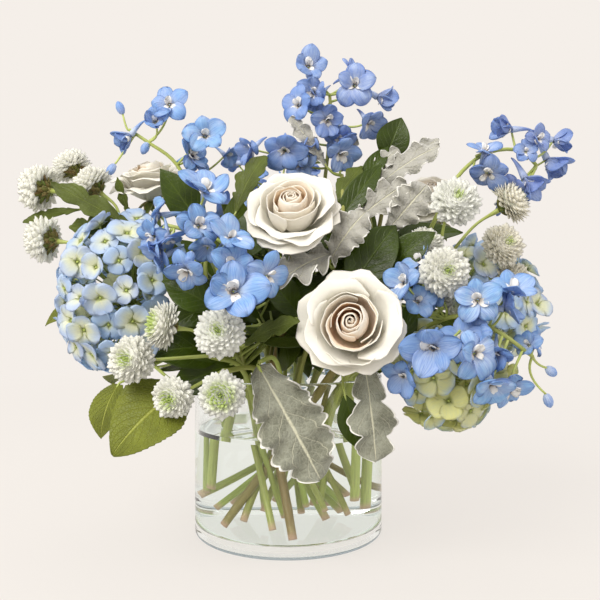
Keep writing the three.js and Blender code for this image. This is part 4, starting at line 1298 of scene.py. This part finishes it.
def leaf_blade(growth, leaf, seed, look, hue):
    """A leaf: at s along and t across, x = t·w(s), y = length·(s + sweep·lobe·|t|), and z = 4·bow·s(1−s) +
    fold·|x| plus a ripple at the edge. The half width w is the kind's outline, notched into scalloped
    lobes or into teeth."""
    base, tip, width, bow, turn, rise, kind = leaf
    _, rows, start, peak, blunt, teeth, tooth, lobes, depth, sweep, fold, ripple = LEAF_KINDS[kind]
    rng = np.random.default_rng(seed)
    base, tip = np.array(base) * MM, np.array(tip) * MM
    length = np.linalg.norm(tip - base)
    s, t = steps(rows, 1.15)[:, None], sides_of(15)[None, :]
    w = width / 2 * MM * outline(s, start, peak, blunt)
    notch = scallop = np.ones_like(s + t)
    if lobes:
        notch = np.abs(np.sin(np.pi * (lobes * s + 0.15 + 0.06 * np.sign(t)))) ** 0.6
        scallop = np.abs(np.sin(np.pi * (2.6 * lobes * s + 0.3 * np.sign(t)))) ** 0.7
    waves = 2 * np.pi * lobes if lobes else 9
    w = w * (1 - depth * (1 - notch)
             * smooth(s, 0.0, 0.15)) * (1 - 0.12 * (1 - scallop) * smooth(s, 0.1, 0.3))
    w = w * (1 - tooth * ((teeth * s) % 1.0 if teeth else 0))
    x = t * w
    y = length * (s + sweep * notch * np.abs(t) ** 1.5 * (1 - s) * bool(lobes))
    phase = rng.uniform(0, 6.28)
    edge = ripple * width * MM * t * t * np.sin(waves * s + phase + np.sign(t) * 1.3)
    z = 4 * bow * MM * s * (1 - s) + fold * np.abs(x) + edge
    along = unit(tip - base)
    shown = facing(turn, rise)
    up = unit(shown - (shown @ along) * along)
    side = np.cross(along, up)
    mids = base + x[..., None] * side + y[..., None] * along + (z - fold * 0.1 * width * MM)[..., None] * up
    growth.shells(mids[None], s[None], t[None], [rng.uniform(), rng.uniform(), hue], 0.6 * MM, look)


def filler_leaves(count, middle, seed):
    """Dark leaves deep in the bunch: from a third of the way out of an egg about its middle to four fifths
    of the way, spread by the golden angle, and leaning at random. None has its tip or its middle within 3 mm
    of a bloom."""
    rng = np.random.default_rng(seed)
    k = (np.arange(count) + 0.5) / count
    height = 1 - 2 * k
    turn = GOLDEN * np.arange(count) + seed
    ring = np.sqrt(1 - height ** 2)
    out = np.stack([ring * np.cos(turn), ring * np.sin(turn), height], -1)
    size = np.array([138, 84, 92]) * MM
    base = np.array(middle) * MM + out * size * 0.36
    lean = unit(out + 0.35 * rng.normal(0, 1, out.shape))
    tips = np.array(middle) * MM + lean * size * rng.uniform(0.72, 0.9, (count, 1))
    shown = unit(out + 0.45 * rng.normal(0, 1, out.shape))
    clear = np.ones(count, bool)
    rooms = bloom_rooms()
    for point in (tips, 0.5 * (tips + base)):
        away = np.linalg.norm(point[:, None] - rooms[None, :, :3], axis=-1) - rooms[None, :, 3]
        clear &= (away > 3 * MM).all(1)
    turns = np.degrees(np.arctan2(shown[:, 0], -shown[:, 1]))
    rises = np.degrees(np.arcsin(shown[:, 2]))
    widths = rng.uniform(26, 36, count)
    return [[*(np.stack([base[i], tips[i]]) / MM), widths[i], 5, turns[i], rises[i],
             "glossy"] for i in np.flatnonzero(clear)]


def build_sprigs(names, looks, hue, filler=0):
    """Leafy stems: a tube for the stem, and blades whose stalks leave it at the nearest point."""
    order = list(looks)
    for i, name in enumerate(names):
        stem, leaves = SPRIGS[name]
        if filler and name.startswith("glossy"):
            leaves = leaves + filler_leaves(filler, FILLER_MIDDLES[name], 700 + i)
        growth = Growth()
        line = smooth_line(np.array(stem) * MM, 44)
        growth.tubes([line], np.linspace(2.3, 1.5, 44)[None] * MM, 10, [0.3, 0.6, 0.2 * i],
                     order.index("stem"))
        for k, leaf in enumerate(leaves):
            look = order.index(LEAF_KINDS[leaf[6]][0])
            leaf_blade(growth, leaf, 500 + 20 * i + k, look, hue if "front" in name else 4 * hue)
            base, tip = np.array(leaf[0]) * MM, np.array(leaf[1]) * MM
            near = nearest(line, base[None], 22)[0]
            into = base + 0.12 * (tip - base)
            stalk = smooth_line([near, (near + base) / 2 - [0, 0, 0.002], base, into], 14)
            growth.tubes([stalk], np.linspace(1.4, 0.7, 14)[None] * MM, 8, [0.3, 0.8, 0.0],
                         order.index("stem"))
        growth.piece(f"{name}_sprig", list(looks.values()), [name])


# ---- Stage ----

def build_stage(settings):
    """A pale floor that curves up into a round backdrop, a warm even sky, three soft lights and the
    camera."""
    run = np.concatenate([np.linspace(0.05, 2.2, 24),
                          2.2 + 1.2 * np.sin(np.radians(np.linspace(6, 90, 15)))])
    rise = np.concatenate([np.zeros(24), 1.2 - 1.2 * np.cos(np.radians(np.linspace(6, 90, 15)))])
    profile = np.stack([np.append(run, 3.4), np.append(rise, 4.5)], -1)
    rings = turned(profile, 96)[0]
    n, m = rings.shape[:2]
    grid = np.arange(n * m).reshape(n, m)
    nxt = np.roll(grid, -1, 1)
    quads = np.stack([grid[:-1], grid[1:], nxt[1:], nxt[:-1]], -1).reshape(-1, 4)
    middle = np.stack([np.full(m, n * m), grid[0], nxt[0]], -1)
    mesh = bpy.data.meshes.new("floor")
    mesh.from_pydata(np.vstack([rings.reshape(-1, 3), [[0, 0, 0]]]).tolist(), [],
                     quads.tolist() + middle.tolist())
    mesh.shade_smooth()
    floor = bpy.data.objects.new("floor", mesh)
    bpy.context.scene.collection.objects.link(floor)
    look = Look("pale_floor")
    grain = look.noise(3.0, 2.0)
    tint = look.mix(look.times(grain, 0.04), colour(settings.floor), tone(226, 220, 214))
    diffuse = look.put("BsdfDiffuse", {"Color": tint}).outputs[0]
    lit = look.put("LightPath").outputs["Is Diffuse Ray"]
    strength = look.put("MapRange", {0: lit, 1: 0.0, 2: 1.0, 3: 1.0, 4: settings.sky}).outputs[0]
    glow = look.put("Emission", {"Color": (*tone(245, 239, 233), 1), "Strength": strength}).outputs[0]
    place = look.put("SeparateXYZ", {0: look.put("TexCoord").outputs["Object"]}).outputs
    far = look.put("VectorMath", {0: look.joined(place[0], place[1], 0.0)},
                   operation="LENGTH").outputs["Value"]
    share = look.put("MapRange", {0: far, 1: 0.2, 2: 1.4, 3: 0.78, 4: 1.0},
                     interpolation_type="SMOOTHSTEP").outputs[0]
    mixed = look.put("MixShader", {0: share, 1: diffuse, 2: glow}).outputs[0]
    look.tree.links.new(mixed, look.out.inputs["Surface"])
    mesh.materials.append(look.material)

    world = bpy.data.worlds.new("studio_sky")
    world.use_nodes = True
    background = world.node_tree.nodes["Background"]
    background.inputs["Color"].default_value = (*tone(250, 247, 244), 1)
    background.inputs["Strength"].default_value = settings.sky
    bpy.context.scene.world = world

    aim = np.array([0.0, -0.02, 0.18])
    for name, place, width, power, tint in (
        ("key_light", (-0.95, -1.35, 1.45), 1.5, settings.key_power, tone(255, 252, 247)),
        ("fill_light", (1.6, -0.7, 0.8), 1.4, settings.fill_power, tone(246, 246, 255)),
        ("top_light", (0.2, 0.6, 2.2), 1.4, settings.fill_power, tone(255, 252, 250)),
    ):
        lamp = bpy.data.lights.new(name, "AREA")
        lamp.shape, lamp.size, lamp.energy, lamp.color = "DISK", width, power, tint
        light = bpy.data.objects.new(name, lamp)
        light.location = place
        look_at = Vector(aim - np.array(place))
        light.rotation_euler = look_at.to_track_quat("-Z", "Y").to_euler()
        bpy.context.scene.collection.objects.link(light)

    lens = bpy.data.cameras.new("camera")
    lens.lens, lens.sensor_width = settings.lens, 36
    lens.clip_start, lens.clip_end = 0.01, 50
    camera = bpy.data.objects.new("camera", lens)
    camera.location = CAMERA_PLACE
    camera.rotation_euler = (math.radians(90), 0, 0)
    bpy.context.scene.collection.objects.link(camera)
    bpy.context.scene.camera = camera
    bpy.context.scene.view_settings.view_transform = "Standard"


# ---- Operators, panel and registration ----

class BOUQUET_OT_vase(bpy.types.Operator):
    """Build the clear glass vase"""

    bl_idname = "bouquet.vase"
    bl_label = "Glass vase"

    def execute(self, context):
        build_vase(context.scene.bouquet_vase)
        return {"FINISHED"}


class BOUQUET_OT_water(bpy.types.Operator):
    """Fill the vase with water"""

    bl_idname = "bouquet.water"
    bl_label = "Water"

    def execute(self, context):
        build_water(context.scene.bouquet_vase)
        return {"FINISHED"}


class BOUQUET_OT_roses(bpy.types.Operator):
    """Build the roses and their stems"""

    bl_idname = "bouquet.roses"
    bl_label = "Roses"

    def execute(self, context):
        build_roses(context.scene.bouquet_blooms, context.scene.bouquet_leaves)
        return {"FINISHED"}


class BOUQUET_OT_chrysanthemums(bpy.types.Operator):
    """Build the button chrysanthemums and their branched stems"""

    bl_idname = "bouquet.chrysanthemums"
    bl_label = "Chrysanthemums"

    def execute(self, context):
        build_mums(context.scene.bouquet_blooms, context.scene.bouquet_leaves)
        return {"FINISHED"}


class BOUQUET_OT_hydrangeas(bpy.types.Operator):
    """Build the hydrangea heads and their stems"""

    bl_idname = "bouquet.hydrangeas"
    bl_label = "Hydrangeas"

    def execute(self, context):
        build_hydrangeas(context.scene.bouquet_blooms, context.scene.bouquet_leaves)
        return {"FINISHED"}


class BOUQUET_OT_delphiniums(bpy.types.Operator):
    """Build the delphinium sprays"""

    bl_idname = "bouquet.delphiniums"
    bl_label = "Delphiniums"

    def execute(self, context):
        build_delphiniums(context.scene.bouquet_blooms, context.scene.bouquet_leaves)
        return {"FINISHED"}


class BOUQUET_OT_dusty_miller(bpy.types.Operator):
    """Build the silver dusty miller sprigs"""

    bl_idname = "bouquet.dusty_miller"
    bl_label = "Dusty miller"

    def execute(self, context):
        leaves = context.scene.bouquet_leaves
        looks = {"silver_felt": silver_look(leaves), "stem": stem_look("silver_stem_skin", leaves, 0.3)}
        names = [name for name in SPRIGS if name.startswith("dusty")]
        build_sprigs(names, looks, 0.15)
        return {"FINISHED"}


class BOUQUET_OT_leafy_branches(bpy.types.Operator):
    """Build the leafy branches"""

    bl_idname = "bouquet.leafy_branches"
    bl_label = "Leafy branches"

    def execute(self, context):
        leaves = context.scene.bouquet_leaves
        looks = {
            "glossy_leaf": leaf_look("glossy_leaf", colour(leaves.glossy_green), tone(98, 118, 30), 7.0,
                                     0.35, 0.30, 0.35, 0.35),
            "ribbed_leaf": leaf_look("ribbed_leaf", colour(leaves.ribbed_green), tone(176, 182, 84), 8.0,
                                     0.45, 0.5, 0.9, 0.75),
            "lobed_leaf": leaf_look("lobed_leaf", colour(leaves.lobed_green), tone(130, 142, 66), 5.0, 0.5,
                                    0.5, 0.6, 0.5),
            "stem": stem_look("branch_skin", leaves),
        }
        names = [name for name in SPRIGS if not name.startswith("dusty")]
        build_sprigs(names, looks, 0.0, 34)
        return {"FINISHED"}


class BOUQUET_OT_stage(bpy.types.Operator):
    """Set the pale floor, the soft light and the camera"""

    bl_idname = "bouquet.stage"
    bl_label = "Stage"

    def execute(self, context):
        build_stage(context.scene.bouquet_stage)
        return {"FINISHED"}


OPERATORS = (
    BOUQUET_OT_vase, BOUQUET_OT_water, BOUQUET_OT_roses, BOUQUET_OT_chrysanthemums, BOUQUET_OT_hydrangeas,
    BOUQUET_OT_delphiniums, BOUQUET_OT_dusty_miller, BOUQUET_OT_leafy_branches, BOUQUET_OT_stage,
)
SETTINGS = {
    "bouquet_vase": VaseSettings, "bouquet_blooms": BloomSettings, "bouquet_leaves": LeafSettings,
    "bouquet_stage": StageSettings,
}


class BOUQUET_PT_panel(bpy.types.Panel):
    """Lists the pieces of the bouquet and their settings"""

    bl_idname = "BOUQUET_PT_panel"
    bl_label = "Bouquet"
    bl_space_type = "VIEW_3D"
    bl_region_type = "UI"
    bl_category = "Bouquet"

    def draw(self, context):
        column = self.layout.column(align=True)
        for operator in OPERATORS:
            column.operator(operator.bl_idname, text=operator.bl_label)
        for name, group in SETTINGS.items():
            box = self.layout.box()
            for key in group.__annotations__:
                box.prop(getattr(context.scene, name), key)


def register():
    for group in SETTINGS.values():
        bpy.utils.register_class(group)
    for name, group in SETTINGS.items():
        setattr(bpy.types.Scene, name, bpy.props.PointerProperty(type=group))
    for operator in OPERATORS:
        bpy.utils.register_class(operator)
    bpy.utils.register_class(BOUQUET_PT_panel)


def unregister():
    bpy.utils.unregister_class(BOUQUET_PT_panel)
    for operator in reversed(OPERATORS):
        bpy.utils.unregister_class(operator)
    for name in SETTINGS:
        delattr(bpy.types.Scene, name)
    for group in reversed(SETTINGS.values()):
        bpy.utils.unregister_class(group)


def main():
    register()
    for operator in OPERATORS:
        group, name = operator.bl_idname.split(".")
        getattr(getattr(bpy.ops, group), name)()


if __name__ == "__main__":
    main()
